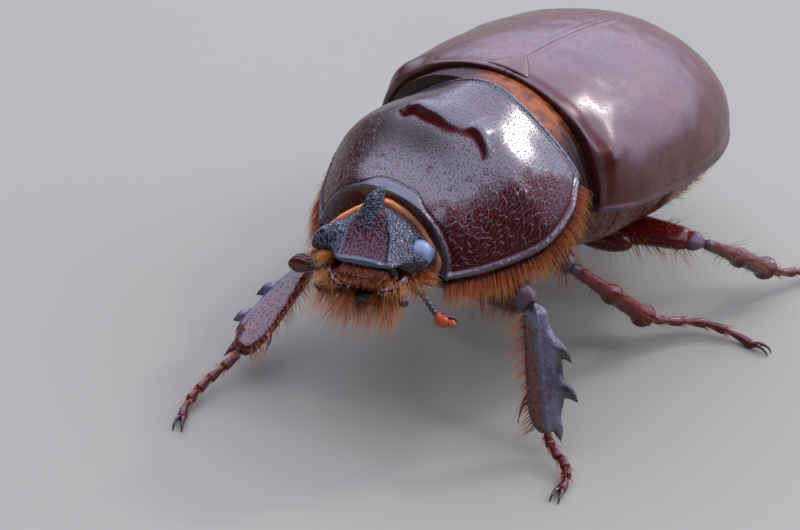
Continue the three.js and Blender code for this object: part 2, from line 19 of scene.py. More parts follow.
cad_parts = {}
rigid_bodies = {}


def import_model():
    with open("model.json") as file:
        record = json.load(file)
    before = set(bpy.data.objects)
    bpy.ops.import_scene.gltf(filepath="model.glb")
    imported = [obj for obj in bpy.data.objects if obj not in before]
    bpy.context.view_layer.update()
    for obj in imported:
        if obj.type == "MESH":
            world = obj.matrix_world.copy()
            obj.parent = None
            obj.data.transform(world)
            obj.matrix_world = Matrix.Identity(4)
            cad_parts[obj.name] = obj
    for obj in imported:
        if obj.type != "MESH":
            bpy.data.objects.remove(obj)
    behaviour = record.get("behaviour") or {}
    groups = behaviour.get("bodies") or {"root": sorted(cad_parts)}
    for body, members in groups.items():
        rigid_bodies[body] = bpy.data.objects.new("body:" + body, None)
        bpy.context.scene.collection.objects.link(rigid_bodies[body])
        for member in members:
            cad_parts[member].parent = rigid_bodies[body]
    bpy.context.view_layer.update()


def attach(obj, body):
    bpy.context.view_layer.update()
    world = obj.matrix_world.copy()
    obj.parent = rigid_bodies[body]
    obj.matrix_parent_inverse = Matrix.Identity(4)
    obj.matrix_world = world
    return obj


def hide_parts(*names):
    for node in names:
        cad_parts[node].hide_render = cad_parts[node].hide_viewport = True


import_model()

log = logging.getLogger("beetle")

Array = np.ndarray
Mesh = bpy.types.Mesh
Material = bpy.types.Material
Socket = bpy.types.NodeSocket
Curve = Callable[[Array], Array]
Relief = Callable[[Array, Array, Array], Array]
Point = tuple[float, float, float]
Stations = tuple[tuple[float, float], ...]

MM = 0.001
STANCE_CENTRE = np.array([-0.367, 1.896, 0.0])  # middle of the footprint, from under the waist
MERGE = 1e-4  # points closer than this are one point
TINY = 1e-6  # kept away from a division by nothing


class Named(Enum):
    """Choices whose names appear inside piece names."""

    @property
    def word(self) -> str:
        """The choice's name as it is written there."""
        return self.name.lower()


class Side(Named):
    """The two sides of the animal, with the sign of X there."""

    LEFT = 1
    RIGHT = -1


# ---- curves


def through(stations: Stations) -> Curve:
    """Make a smooth function through a few stations.

    Args:
        stations: Pairs of place and value, in rising place.

    Returns:
        A function of an array of places.
    """
    xs = np.array([s[0] for s in stations], float)
    ys = np.array([s[1] for s in stations], float)
    before = np.maximum(np.arange(len(xs)) - 1, 0)
    after = np.minimum(np.arange(len(xs)) + 1, len(xs) - 1)
    slopes = (ys[after] - ys[before]) / (xs[after] - xs[before])

    def value(x: Array) -> Array:
        """The curve's value at each place."""
        x = np.clip(x, xs[0], xs[-1])
        i = np.clip(np.searchsorted(xs, x) - 1, 0, len(xs) - 2)
        span = xs[i + 1] - xs[i]
        t = (x - xs[i]) / span
        hermite = (2 * t - 3) * t * t
        return (
            (hermite + 1) * ys[i]
            - hermite * ys[i + 1]
            + ((t - 2) * t + 1) * t * span * slopes[i]
            + (t - 1) * t * t * span * slopes[i + 1]
        )

    return value


def ease(t: Array) -> Array:
    """A smooth step from 0 at t = 0 to 1 at t = 1."""
    t = np.clip(t, 0.0, 1.0)
    return t * t * (3 - 2 * t)


def bump(x: Array, middle: float, width: float) -> Array:
    """A bell of height 1 around a middle."""
    return np.exp(-(((x - middle) / width) ** 2))


def mound(*axes: tuple[Array, float, float]) -> Array:
    """A bell of height 1 over several axes, each with its middle and width."""
    return np.exp(-sum(((x - middle) / width) ** 2 for x, middle, width in axes))


def lerp(a: Array, b: Array, t: Array) -> Array:
    """The value a share t of the way from a to b."""
    return a + (b - a) * t


def signed_power(value: Array, power: float) -> Array:
    """A power that keeps the sign of its base."""
    return np.sign(value) * np.abs(value) ** power


def oval(y: Array, middle: float, reach: float, power: float) -> Array:
    """One end of an oval: 1 at the middle, 0 at the tip."""
    return np.sqrt(np.maximum(0.0, 1 - (np.abs(y - middle) / reach) ** power))


def rounded(t: Array, share: float) -> Array:
    """A rod's radius share that closes roundly over a share of its length at each end."""
    start = 1 - np.clip(t / share, 0, 1)
    end = 1 - np.clip((1 - t) / share, 0, 1)
    return np.sqrt(np.maximum(0, 1 - start**2)) * np.sqrt(np.maximum(0, 1 - end**2))


def tapering(start: float, end: float, close: float, power: float = 1.0) -> Curve:
    """A rod's half width from one value to another, closed roundly over a share at each end."""
    return lambda t: lerp(start, end, t**power) * rounded(t, close)


def halves(u: Array, share: float) -> Array:
    """An angle once round: half the turn takes a share of the columns, the other half the rest."""
    return math.pi * np.where(u < share, u / share, 1 + (u - share) / (1 - share))


def ends(v: Array, cap: float, both: bool = True) -> tuple[Array, Array]:
    """Share the rows of a piece between its side and its end faces.

    Args:
        v: Places along the rows.
        cap: Share of the rows on each end face.
        both: Whether it has an end face behind as well.

    Returns:
        The reach from the axis, 0 to 1, and the share of the piece's own length.
    """
    behind = np.clip((1 - v) / cap, 0, 1) if both else 1.0
    reach = np.minimum(np.clip(v / cap, 0, 1), behind)
    return reach, np.clip((v - cap) / (1 - (2 if both else 1) * cap), 0, 1)


def unit(vectors: Array) -> Array:
    """Vectors of length 1 along the last axis."""
    return vectors / np.maximum(np.linalg.norm(vectors, axis=-1, keepdims=True), 1e-12)


def grain(points: Array, size: float, octaves: int) -> Array:
    """Cloudy noise, about -1 to 1.

    Args:
        points: N points, in millimetres.
        size: Width of the largest grain, or three widths along X, Y and Z.
        octaves: How many finer layers are added.

    Returns:
        One value for each point.
    """
    scaled = points / np.asarray(size, float)
    return np.array([noise.fractal(Vector(p), 1.0, 2.0, octaves) for p in scaled])


def cells(points: Array, size: float) -> Array:
    """The walls of a cell pattern: 1 on a wall, falling to 0 inside a cell."""
    scaled = points / np.asarray(size, float)
    near = np.array([noise.voronoi(Vector(p))[0][:2] for p in scaled])
    return 1 - ease((near[:, 1] - near[:, 0]) / 0.35)


# ---- places


@dataclass(frozen=True)
class Pose:
    """Where one section of the body sits, in millimetres and degrees."""

    origin: Point
    yaw: float = 0.0
    pitch: float = 0.0
    roll: float = 0.0
    parent: Optional["Pose"] = None

    def matrix(self) -> Array:
        """The 4 by 4 matrix from the section's frame to the frame under the waist."""
        turn = (
            Matrix.Rotation(math.radians(self.yaw), 4, "Z")
            @ Matrix.Rotation(math.radians(self.pitch), 4, "X")
            @ Matrix.Rotation(math.radians(self.roll), 4, "Y")
        )
        own = np.array(Matrix.Translation(self.origin) @ turn)
        return self.parent.matrix() @ own if self.parent else own

    def world(self, points: Array) -> Array:
        """Points of the section's frame in the part's frame."""
        m = self.matrix()
        return points @ m[:3, :3].T + m[:3, 3] - STANCE_CENTRE

    def turned(self, ways: Array) -> Array:
        """Directions of the section's frame in the part's frame."""
        return ways @ self.matrix()[:3, :3].T

    def local(self, points: Array) -> Array:
        """Points of the part's frame in the section's frame."""
        m = np.linalg.inv(self.matrix())
        return (points + STANCE_CENTRE) @ m[:3, :3].T + m[:3, 3]


STANDING = Pose((0.0, 0.0, 0.0))


@dataclass(frozen=True)
class Path:
    """A smooth line through a few points, with a side direction to lay sections by."""

    points: tuple[Point, ...]
    side: Point
    pose: Pose = STANDING

    def at(self, t: Array) -> Array:
        """Points of the section's frame at shares t of the line's spans."""
        p = np.array(self.points, float)
        p = np.vstack([2 * p[0] - p[1], p, 2 * p[-1] - p[-2]])
        spans = len(self.points) - 1
        place = np.clip(t, 0, 1) * spans
        i = np.minimum(place.astype(int), spans - 1)
        w = (place - i)[..., None]
        x0, x1, x2, x3 = (p[i + k] for k in range(4))
        legs = ((x0, x1), (x1, x2), (x2, x3))
        gaps = [np.linalg.norm(b - a, axis=-1, keepdims=True) ** 0.5 for a, b in legs]
        d0, d1, d2 = (np.maximum(gap, TINY) for gap in gaps)
        s1 = ((x1 - x0) / d0 - (x2 - x0) / (d0 + d1) + (x2 - x1) / d1) * d1
        s2 = ((x2 - x1) / d1 - (x3 - x1) / (d1 + d2) + (x3 - x2) / d2) * d1
        cubic = 2 * x1 - 2 * x2 + s1 + s2
        square = -3 * x1 + 3 * x2 - 2 * s1 - s2
        return ((cubic * w + square) * w + s1) * w + x1

    def frames(self, t: Array) -> tuple[Array, Array, Array, Array]:
        """The line's point, tangent, outward side and normal at each share, in the part's frame."""
        step = 1e-3
        here = self.at(t)
        tangent = unit(self.at(np.minimum(t + step, 1)) - self.at(np.maximum(t - step, 0)))
        tangent = self.pose.turned(tangent)
        side = unit(self.pose.turned(np.array(self.side, float)))
        normal = unit(np.cross(tangent, side))
        return self.pose.world(here), tangent, np.cross(normal, tangent), normal


# ---- skins


@dataclass
class Skin:
    """A smooth surface over u, round the piece, and v, along it, in the part's frame."""

    place: Callable[[Array, Array], Array]
    relief: Optional[Relief] = None
    outward: float = 1.0

    def frames(self, u: Array, v: Array) -> tuple[Array, Array, Array]:
        """Points, outward normals and tangents along the piece at u, v."""
        step = 2e-3
        here = self.place(u, v)
        round_it = unit(self.place(u + step, v) - self.place(u - step, v))
        along = unit(self.place(u, np.minimum(v + step, 1)) - self.place(u, np.maximum(v - step, 0)))
        return here, unit(np.cross(round_it, along)) * self.outward, along


def rod(
    path: Path, wide: Curve, deep: Optional[Curve] = None, relief: Optional[Relief] = None
) -> Skin:
    """Make the skin of a rod along a path.

    Args:
        path: The rod's middle line.
        wide: Half size towards the path's side, by share of length.
        deep: Half size across it; the same as wide where left out.
        relief: Height over the surface by u, v and point.

    Returns:
        The skin, with u once round and v along the path.
    """

    def place(u: Array, v: Array) -> Array:
        """Points of the rod."""
        here, _, out, normal = path.frames(v)
        angle = 2 * math.pi * u
        thick = wide(v) if deep is None else deep(v)
        across, up = np.cos(angle) * wide(v), np.sin(angle) * thick
        return here + out * across[:, None] + normal * up[:, None]

    return Skin(place, relief)


class Role(Enum):
    """The record's material slots."""

    EYE = "eye"
    HEAD = "head_shell"
    MEMBRANE = "membrane"
    MOUTH = "mouth_and_feelers"
    CLUB = "antenna_club"
    SHIELD = "shield_shell"
    UNDERSIDE = "underside"
    WING_CASE = "wing_case"
    LEG = "leg"


def settled(bm: bmesh.types.BMesh, name: str) -> Mesh:
    """Turn a working mesh into a finished one and let go of it."""
    mesh = bpy.data.meshes.new(name)
    bm.to_mesh(mesh)
    bm.free()
    return mesh


def placed(name: str, data: object) -> bpy.types.Object:
    """Put a new object into the scene."""
    obj = bpy.data.objects.new(name, data)
    bpy.context.scene.collection.objects.link(obj)
    return obj


def coordinates(mesh: Mesh) -> Array:
    """The mesh's vertices as an N by 3 array."""
    flat = np.empty(len(mesh.vertices) * 3)
    mesh.vertices.foreach_get("co", flat)
    return flat.reshape(-1, 3)


def set_coordinates(mesh: Mesh, points: Array) -> None:
    """Move the mesh's vertices."""
    mesh.vertices.foreach_set("co", np.ascontiguousarray(points, float).ravel())


def vertex_normals(mesh: Mesh) -> Array:
    """The mesh's vertex normals as an N by 3 array."""
    flat = np.empty(len(mesh.vertices) * 3, np.float32)
    mesh.vertex_normals.foreach_get("vector", flat)
    return flat.reshape(-1, 3).astype(float)


def paint(mesh: Mesh, name: str, values: Array) -> None:
    """Store one number for each vertex under a name that the finishes read."""
    layer = mesh.attributes.get(name) or mesh.attributes.new(name, "FLOAT", "POINT")
    layer.data.foreach_set("value", np.asarray(values, np.float32))


def paint_lay(mesh: Mesh, across: Array, along: Array) -> None:
    """Store lengths over the surface, in millimetres, that the finishes lay their patterns by."""
    layer = mesh.attributes.get("lay") or mesh.attributes.new("lay", "FLOAT_VECTOR", "POINT")
    flat = np.column_stack([across, along, np.zeros_like(across)]) * MM
    layer.data.foreach_set("vector", np.ascontiguousarray(flat, np.float32).ravel())


def unrolled(skin: Skin, u: Array, v: Array, middle: float) -> tuple[Array, Array]:
    """Measure a skin from its middle column and its first row.

    Args:
        skin: The surface, in millimetres.
        u: Places round it.
        v: Places along it.
        middle: The column that counts as 0.

    Returns:
        The lengths across and along at each place.
    """
    fine = 90
    marks = np.linspace(0, 1, fine)
    round_it, along_it = np.meshgrid(marks, marks)
    points = skin.place(round_it.ravel(), along_it.ravel()).reshape(fine, fine, 3)
    across, along = np.zeros((fine, fine)), np.zeros((fine, fine))
    across[:, 1:] = np.linalg.norm(np.diff(points, axis=1), axis=2).cumsum(axis=1)
    along[1:, :] = np.linalg.norm(np.diff(points, axis=0), axis=2).cumsum(axis=0)
    across -= across[:, [round(middle * (fine - 1))]]
    columns, rows = u * (fine - 1), v * (fine - 1)
    i, j = (np.clip(x.astype(int), 0, fine - 2) for x in (columns, rows))
    a, b = columns - i, rows - j

    def read(table: Array) -> Array:
        """The table's value between its marks."""
        near, far = (lerp(table[row, i], table[row, i + 1], a) for row in (j, j + 1))
        return lerp(near, far, b)

    return read(across), read(along)


def bent_grid(skin: Skin, columns: int, rows: int, middle: float = 0.5, folded: bool = True) -> Mesh:
    """Bend a grid over a skin and close it.

    Args:
        skin: The surface. Its relief is laid on after the points have met.
        columns: Faces round the piece.
        rows: Faces along it.
        middle: The column from which patterns are measured.
        folded: Whether patterns run the same way round both sides, so that they meet behind.

    Returns:
        A closed mesh in millimetres, with the layers u, v and lay.
    """
    bm = bmesh.new()
    corner = Matrix.Translation((0.5, 0.5, 0.0))
    bmesh.ops.create_grid(bm, x_segments=columns, y_segments=rows, size=0.5, matrix=corner)
    mesh = bpy.data.meshes.new("grid")
    bm.to_mesh(mesh)
    flat = coordinates(mesh)
    paint(mesh, "u", flat[:, 0])
    paint(mesh, "v", flat[:, 1])
    across, along = unrolled(skin, flat[:, 0], flat[:, 1], middle)
    paint_lay(mesh, np.abs(across) if folded else across, along)
    set_coordinates(mesh, skin.place(flat[:, 0], flat[:, 1]))
    bm.clear()
    bm.from_mesh(mesh)
    bmesh.ops.remove_doubles(bm, verts=bm.verts, dist=MERGE)
    open_edges = [e for e in bm.edges if e.is_boundary]
    if open_edges:
        bmesh.ops.holes_fill(bm, edges=open_edges, sides=0)
    bmesh.ops.dissolve_degenerate(bm, dist=MERGE / 10, edges=bm.edges)
    bmesh.ops.recalc_face_normals(bm, faces=bm.faces)
    bm.to_mesh(mesh)
    bm.free()
    if skin.relief is not None:
        points = coordinates(mesh)
        height = skin.relief(layer_of(mesh, "u"), layer_of(mesh, "v"), points)
        set_coordinates(mesh, points + vertex_normals(mesh) * height[:, None])
    mesh.update()
    return mesh


def layer_of(mesh: Mesh, name: str) -> Array:
    """Read back the numbers that paint stored."""
    values = np.empty(len(mesh.vertices), np.float32)
    mesh.attributes[name].data.foreach_get("value", values)
    return values.astype(float)


def ball(centre: Array, half: Point, fine: int, turn: Optional[Matrix] = None) -> Mesh:
    """Make an ellipsoid in millimetres.

    Args:
        centre: Its middle in the part's frame.
        half: Half sizes before it is turned.
        fine: Facets round it.
        turn: Rotation, if any.

    Returns:
        The mesh.
    """
    bm = bmesh.new()
    bmesh.ops.create_uvsphere(bm, u_segments=fine, v_segments=fine // 2, radius=1.0)
    bmesh.ops.scale(bm, vec=half, verts=bm.verts)
    if turn is not None:
        bmesh.ops.rotate(bm, cent=(0, 0, 0), matrix=turn.to_3x3(), verts=bm.verts)
    bmesh.ops.translate(bm, vec=Vector(centre), verts=bm.verts)
    mesh = settled(bm, "ball")
    x, y, z = (coordinates(mesh) - np.array(centre)).T
    paint_lay(mesh, np.arctan2(y, x) * max(half), z)
    return mesh


def joined(meshes: Sequence[Mesh]) -> Mesh:
    """Join meshes into one, keeping their painted layers."""
    bm = bmesh.new()
    for mesh in meshes:
        bm.from_mesh(mesh)
        bpy.data.meshes.remove(mesh)
    return settled(bm, "joined")


def fused(meshes: Sequence[Mesh], voxel: float, smooth: int) -> Mesh:
    """Grow overlapping meshes into one closed skin.

    Args:
        meshes: Closed meshes in millimetres.
        voxel: Size of the new faces.
        smooth: How often the new skin is smoothed.

    Returns:
        The fused mesh, in millimetres.
    """
    holder = placed("fusing", joined(meshes))
    remesh = holder.modifiers.new("fuse", "REMESH")
    remesh.mode = "VOXEL"
    remesh.voxel_size = voxel
    remesh.adaptivity = 0.0
    whole = holder.evaluated_get(bpy.context.evaluated_depsgraph_get())
    made = bpy.data.meshes.new_from_object(whole)
    old = holder.data
    bpy.data.objects.remove(holder)
    bpy.data.meshes.remove(old)
    bm = bmesh.new()
    bm.from_mesh(made)
    for _ in range(smooth):
        bmesh.ops.smooth_vert(
            bm, verts=bm.verts, factor=0.5, use_axis_x=True, use_axis_y=True, use_axis_z=True
        )
    bm.to_mesh(made)
    bm.free()
    return made


# ---- finishes


WHITE = "ffffff"
# colour of the painted shade inside the pits
PIT_DARK = "0a0405"


def colour(code: str) -> tuple[float, float, float, float]:
    """A linear colour from six hexadecimal digits."""
    shares = [int(code[i : i + 2], 16) / 255 for i in (0, 2, 4)]
    linear = [s / 12.92 if s <= 0.04045 else ((s + 0.055) / 1.055) ** 2.4 for s in shares]
    return (*linear, 1.0)


class Nodes:
    """A tree of nodes, with the sums that finishes and the sky are made of."""

    def __init__(self, tree: bpy.types.NodeTree) -> None:
        """Start with an empty tree."""
        self.tree = tree
        tree.nodes.clear()

    def add(self, kind: str, **settings: object) -> bpy.types.Node:
        """Add a node and set its properties."""
        node = self.tree.nodes.new(kind)
        for key, value in settings.items():
            setattr(node, key, value)
        return node

    def put(self, socket: Socket, value: object) -> None:
        """Link a socket to another one, or set its number."""
        if isinstance(value, Socket):
            self.tree.links.new(value, socket)
        else:
            socket.default_value = value

    def vectors(self, kind: str, *values: object) -> bpy.types.Node:
        """One sum on two or three vectors."""
        node = self.add("ShaderNodeVectorMath", operation=kind)
        for socket, value in zip(node.inputs, values):
            self.put(socket, value)
        return node

    def maths(self, kind: str, a: object, b: object, c: object = 0.0) -> Socket:
        """One sum on two or three numbers."""
        node = self.add("ShaderNodeMath", operation=kind)
        for socket, value in zip(node.inputs, (a, b, c)):
            self.put(socket, value)
        return node.outputs[0]

    def times(self, a: object, b: object) -> Socket:
        """Two numbers multiplied."""
        return self.maths("MULTIPLY", a, b)

    def rest(self, share: object) -> Socket:
        """What a share leaves of 1."""
        return self.maths("SUBTRACT", 1.0, share)

    def step(
        self, value: object, low: float, high: float, to: tuple[float, float] = (0.0, 1.0)
    ) -> Socket:
        """A smooth step of a value between two limits."""
        node = self.add("ShaderNodeMapRange", interpolation_type="SMOOTHSTEP")
        for socket, number in zip(node.inputs, (value, low, high, *to)):
            self.put(socket, number)
        return node.outputs[0]

    def mixed(self, share: object, a: object, b: object) -> Socket:
        """A colour between two."""
        node = self.add("ShaderNodeMix", data_type="RGBA")
        for socket, value in zip((node.inputs[0], node.inputs[6], node.inputs[7]), (share, a, b)):
            self.put(socket, value)
        return node.outputs[2]


class Bench(Nodes):
    """Lays out the nodes of one finish."""

    def __init__(self, name: str) -> None:
        """Start a material with one principled shader."""
        self.material = bpy.data.materials.new(name)
        self.material.use_nodes = True
        super().__init__(self.material.node_tree)
        self.shader = self.add("ShaderNodeBsdfPrincipled")
        output = self.add("ShaderNodeOutputMaterial")
        self.put(output.inputs["Surface"], self.shader.outputs[0])
        self.place = self.add("ShaderNodeTexCoord").outputs["Object"]

    def set(self, **values: object) -> None:
        """Set or link the shader's sockets; an underscore stands for a space."""
        for key, value in values.items():
            self.put(self.shader.inputs[key.replace("_", " ")], value)

    def noise(self, size: float, detail: float, twist: float = 0.0) -> bpy.types.Node:
        """Noise whose grains are size millimetres wide."""
        node = self.add("ShaderNodeTexNoise")
        self.put(node.inputs["Vector"], self.place)
        node.inputs["Scale"].default_value = 1 / (size * MM)
        node.inputs["Detail"].default_value = detail
        node.inputs["Distortion"].default_value = twist
        return node

    def clouds(self, size: float, detail: float = 3.0, twist: float = 0.0) -> Socket:
        """Noise from 0 to 1."""
        return self.noise(size, detail, twist).outputs["Fac"]

    def bent(self, where: Socket, size: float, reach: float) -> Socket:
        """Places drawn aside by up to reach millimetres, in waves size millimetres wide."""
        waves = self.noise(size, 2.0).outputs["Color"]
        centred = self.vectors("SUBTRACT", waves, (0.5, 0.5, 0.5)).outputs[0]
        return self.vectors("MULTIPLY_ADD", centred, (2 * reach * MM,) * 3, where).outputs[0]

    def stretched(self, where: Socket, length: float) -> Socket:
        """Places between which a pattern is drawn out along the surface."""
        return self.vectors("MULTIPLY", where, (1.0, 1 / length, 1.0)).outputs[0]

    def pits(
        self, gap: float, kind: str, spread: float, where: Optional[Socket] = None
    ) -> bpy.types.Node:
        """A cell pattern, one cell about every gap millimetres; flat where laid on the surface."""
        flat = "3D" if where is None else "2D"
        node = self.add("ShaderNodeTexVoronoi", feature=kind, voronoi_dimensions=flat)
        self.put(node.inputs["Vector"], self.place if where is None else where)
        node.inputs["Scale"].default_value = 1 / (gap * MM)
        node.inputs["Randomness"].default_value = spread
        return node

    def layer(self, name: str) -> Socket:
        """A layer painted on the vertices."""
        return self.add("ShaderNodeAttribute", attribute_name=name).outputs["Fac"]

    def lay(self) -> Socket:
        """The lengths painted over the surface."""
        return self.add("ShaderNodeAttribute", attribute_name="lay").outputs["Vector"]

    def raised(self, height: object, depth: float, under: object = None) -> Socket:
        """A normal from a height of 0 to 1, depth millimetres high, over another one."""
        node = self.add("ShaderNodeBump")
        node.inputs["Distance"].default_value = depth * MM
        self.put(node.inputs["Height"], height)
        if under is not None:
            self.put(node.inputs["Normal"], under)
        return node.outputs[0]


@dataclass(frozen=True)
class Finish:
    """What a piece is dressed in; each kind lays out its own nodes."""

    name: str

    def lay_out(self, bench: Bench) -> None:
        """Join the nodes of the finish to its shader."""
        raise NotImplementedError

    def material(self) -> Material:
        """Build the material.

        Returns:
            The material, ready for any piece with the painted layers.
        """
        bench = Bench(self.name)
        self.lay_out(bench)
        return bench.material


@dataclass(frozen=True)
class Shell(Finish):
    """Hard glossy shell: its colours, pits and wrinkles.

    The painted layers say where it is wrinkled (coarse), where it turns to its deep red and its
    reflection is dimmed, partly its own colour and partly painted shade (hollow), and where its
    edges are smooth and take the rim colour, on most shells a painted grey-blue sheen (rim).
    Lengths are millimetres.
    """

    body: str
    deep: str
    glow: str
    roughness: float = 0.25
    density: float = 1.8
    pit_gap: float = 0.27
    pit_size: float = 0.3
    pit_depth: float = 0.05
    pit_share: float = 0.8
    pit_length: float = 1.0
    cell: float = 0.36
    cell_length: float = 2.2
    # share of the rim colour laid on the wrinkles' walls: a painted highlight
    fold_tint: float = 0.12
    wall: float = 0.2
    wrinkle_depth: float = 0.07
    pit_shade: float = 0.8
    skin_depth: float = 0.002
    # colour of the rim layer: on most shells a grey-blue painted sheen, the sky's reflection
    rim: str = "4a5768"
    rim_share: float = 0.5
    # the hollow layer tints the reflection towards gleam: painted shade in the reflection
    gleam: str = "ffffff"  # tint of the reflection where it is hollow

    def pitted(self, bench: Bench, lay: Socket, rim: Socket) -> Socket:
        """How far each place lies inside a pit, from 0 to 1."""
        pit = bench.pits(self.pit_gap, "F1", 0.85, bench.stretched(lay, self.pit_length))
        chance = bench.add("ShaderNodeSeparateColor")
        bench.put(chance.inputs[0], pit.outputs["Color"])
        there = bench.step(chance.outputs[0], self.pit_share - 0.1, self.pit_share, (1.0, 0.0))
        dip = bench.step(pit.outputs["Distance"], self.pit_size * 0.5, self.pit_size, (1.0, 0.0))
        return bench.times(bench.times(dip, there), bench.rest(rim))

    def folds(self, bench: Bench, lay: Socket) -> Socket:
        """The walls between long cells, from 0 to 1."""
        cell = bench.pits(self.cell, "DISTANCE_TO_EDGE", 1.0, bench.stretched(lay, self.cell_length))
        return bench.step(cell.outputs["Distance"], self.wall * 0.3, self.wall, (1.0, 0.0))

    def lay_out(self, bench: Bench) -> None:
        """Join colour, pits, wrinkles and gloss."""
        coarse, hollow, rim = (bench.layer(name) for name in ("coarse", "hollow", "rim"))
        lay = bench.bent(bench.lay(), 0.7, 0.12)
        cloud = bench.step(bench.clouds(3.0), 0.35, 0.7)
        tone = bench.mixed(cloud, colour(self.body), colour(self.glow))
        blotch = bench.step(bench.clouds(0.5, 4.0), 0.3, 0.75, (0.0, 0.4))
        tone = bench.mixed(blotch, tone, colour(self.deep))
        # hollow: deep red, partly the shell's own colour and partly painted shade
        tone = bench.mixed(hollow, tone, colour(self.deep))
        # rim: the rim colour mixed in, a painted sheen where edges, crests and smooth parts would reflect
        # the sky
        tone = bench.mixed(bench.times(rim, self.rim_share), tone, colour(self.rim))

        dip = self.pitted(bench, lay, rim)
        # painted shade: each pit darkened towards PIT_DARK by pit_shade
        tone = bench.mixed(bench.times(dip, self.pit_shade), tone, colour(PIT_DARK))
        fold = bench.times(self.folds(bench, bench.bent(lay, 1.1, 0.3)), coarse)
        # painted highlight: the wrinkles' walls take the rim colour, standing for their glints
        tone = bench.mixed(bench.times(fold, self.fold_tint), tone, colour(self.rim))

        normal = bench.raised(bench.clouds(0.09, 2.0), self.skin_depth)
        normal = bench.raised(bench.rest(dip), self.pit_depth, normal)
        normal = bench.raised(fold, self.wrinkle_depth, normal)
        uneven = bench.step(bench.clouds(0.35, 3.0), 0.3, 0.7, (-0.04, 0.06))
        gloss = bench.maths("ADD", uneven, bench.maths("MULTIPLY_ADD", rim, 0.08, self.roughness))
        gloss = bench.maths("ADD", gloss, bench.times(dip, 0.3))
        # painted shade in the reflection: where hollow and not raised, the reflection is tinted towards
        # gleam
        proud = bench.maths("MAXIMUM", bench.times(fold, 0.75), rim)
        dull = bench.times(bench.step(hollow, 0.0, 0.6), bench.rest(proud))
        gleam = bench.mixed(dull, colour(WHITE), colour(self.gleam))
        bench.set(Base_Color=tone, Roughness=gloss, Normal=normal)
        bench.set(IOR=self.density, Specular_Tint=gleam)


@dataclass(frozen=True)
class Membrane(Finish):
    """Soft folded skin between the plates; the layers edge and shade lighten and darken it."""

    light: str
    dark: str

    def lay_out(self, bench: Bench) -> None:
        """Join clouds, creases and the soft glow of skin."""
        cloud = bench.clouds(0.7, 4.0)
        tone = bench.mixed(bench.step(cloud, 0.3, 0.7), colour(self.dark), colour(self.light))
        crease = bench.clouds(0.16, 3.0, 0.8)
        # painted shade: the low places of the creases darkened towards orange-brown
        tone = bench.mixed(bench.step(crease, 0.2, 0.5, (0.5, 0.0)), tone, colour("7a3010"))
        tone = bench.mixed(bench.times(bench.layer("edge"), 0.5), tone, colour("e4a070"))
        tone = bench.mixed(bench.layer("shade"), tone, colour("1c0906"))
        normal = bench.raised(crease, 0.03)
        bench.set(Base_Color=tone, Normal=normal, Roughness=bench.step(cloud, 0.2, 0.8, (0.38, 0.55)))
        bench.set(Specular_IOR_Level=0.25, Subsurface_Weight=0.25, Subsurface_Scale=1.0)
        bench.set(Subsurface_Radius=(0.0006, 0.0002, 0.0001))


@dataclass(frozen=True)
class Lens(Finish):
    """The glossy skin of a compound eye, faintly faceted; its pale blue-grey is a painted reflection."""

    def lay_out(self, bench: Bench) -> None:
        """Join the facets and their gloss."""
        facets = bench.pits(0.045, "F1", 0.25)
        # painted reflection: a pale blue-grey base colour standing for the sky in the dark eye
        tone = bench.mixed(bench.step(bench.clouds(0.6), 0.3, 0.7), colour("56687f"), colour("71849e"))
        normal = bench.raised(bench.step(facets.outputs["Distance"], 0.1, 0.6, (1.0, 0.0)), 0.002)
        bench.set(Base_Color=tone, Normal=normal, IOR=1.6, Coat_Weight=0.25, Coat_Roughness=0.3)
        bench.set(Roughness=bench.step(facets.outputs["Distance"], 0.2, 0.7, (0.36, 0.46)))


@dataclass(frozen=True)
class Bristle(Finish):
    """Stiff hair, darker at its root; the layers reach and tint run from 0 to 1."""

    root: str = "74300f"
    middle: str = "cc6a26"
    tip: str = "f0b068"

    def lay_out(self, bench: Bench) -> None:
        """Join the colours along the hair and its streaks."""
        reach, tint = bench.layer("reach"), bench.layer("tint")
        tone = bench.mixed(bench.step(reach, 0.0, 0.45), colour(self.root), colour(self.middle))
        tone = bench.mixed(bench.step(reach, 0.4, 1.0), tone, colour(self.tip))
        tone = bench.mixed(bench.times(tint, 0.45), tone, colour(self.root))
        streak = bench.clouds(0.12, 2.0)
        bench.set(Base_Color=tone, Roughness=bench.step(streak, 0.3, 0.7, (0.32, 0.5)), IOR=1.55)


SHIELD_SHELL = Shell(
    "shield_shell", "1f090d", "440a0a", "270c13", 0.23, 1.85,
    pit_gap=0.235, pit_size=0.21, pit_depth=0.045, pit_share=0.93, pit_length=1.25,
    cell=0.25, cell_length=2.1, fold_tint=0.1, wall=0.14, wrinkle_depth=0.065, gleam="9c6468",
)
CASE_SHELL = Shell(
    "case_shell", "46140c", "300604", "561b0f", 0.27, 1.7, pit_gap=0.5, pit_size=0.1, pit_depth=0.01,
    pit_share=0.6, pit_shade=0.25, skin_depth=0.001, gleam="b08488",
)
HEAD_SHELL = Shell(
    "head_shell", "0c0d12", "340506", "12131a", 0.22, 1.6, pit_gap=0.22, pit_size=0.24, cell=0.23,
    cell_length=1.4, fold_tint=0.3, wall=0.3, wrinkle_depth=0.08, rim="6b7b94", gleam="a46c70",
)
PLATE_SHELL = Shell("plate_shell", "5c2410", "34100a", "7c3814", 0.3, 1.5, pit_gap=0.32, pit_size=0.25)
LEG_SHELL = Shell(
    "leg_shell", "4a0605", "5c0806", "560a07", 0.24, 1.47,
    pit_gap=0.42, pit_size=0.16, pit_depth=0.03, pit_shade=0.5,
)
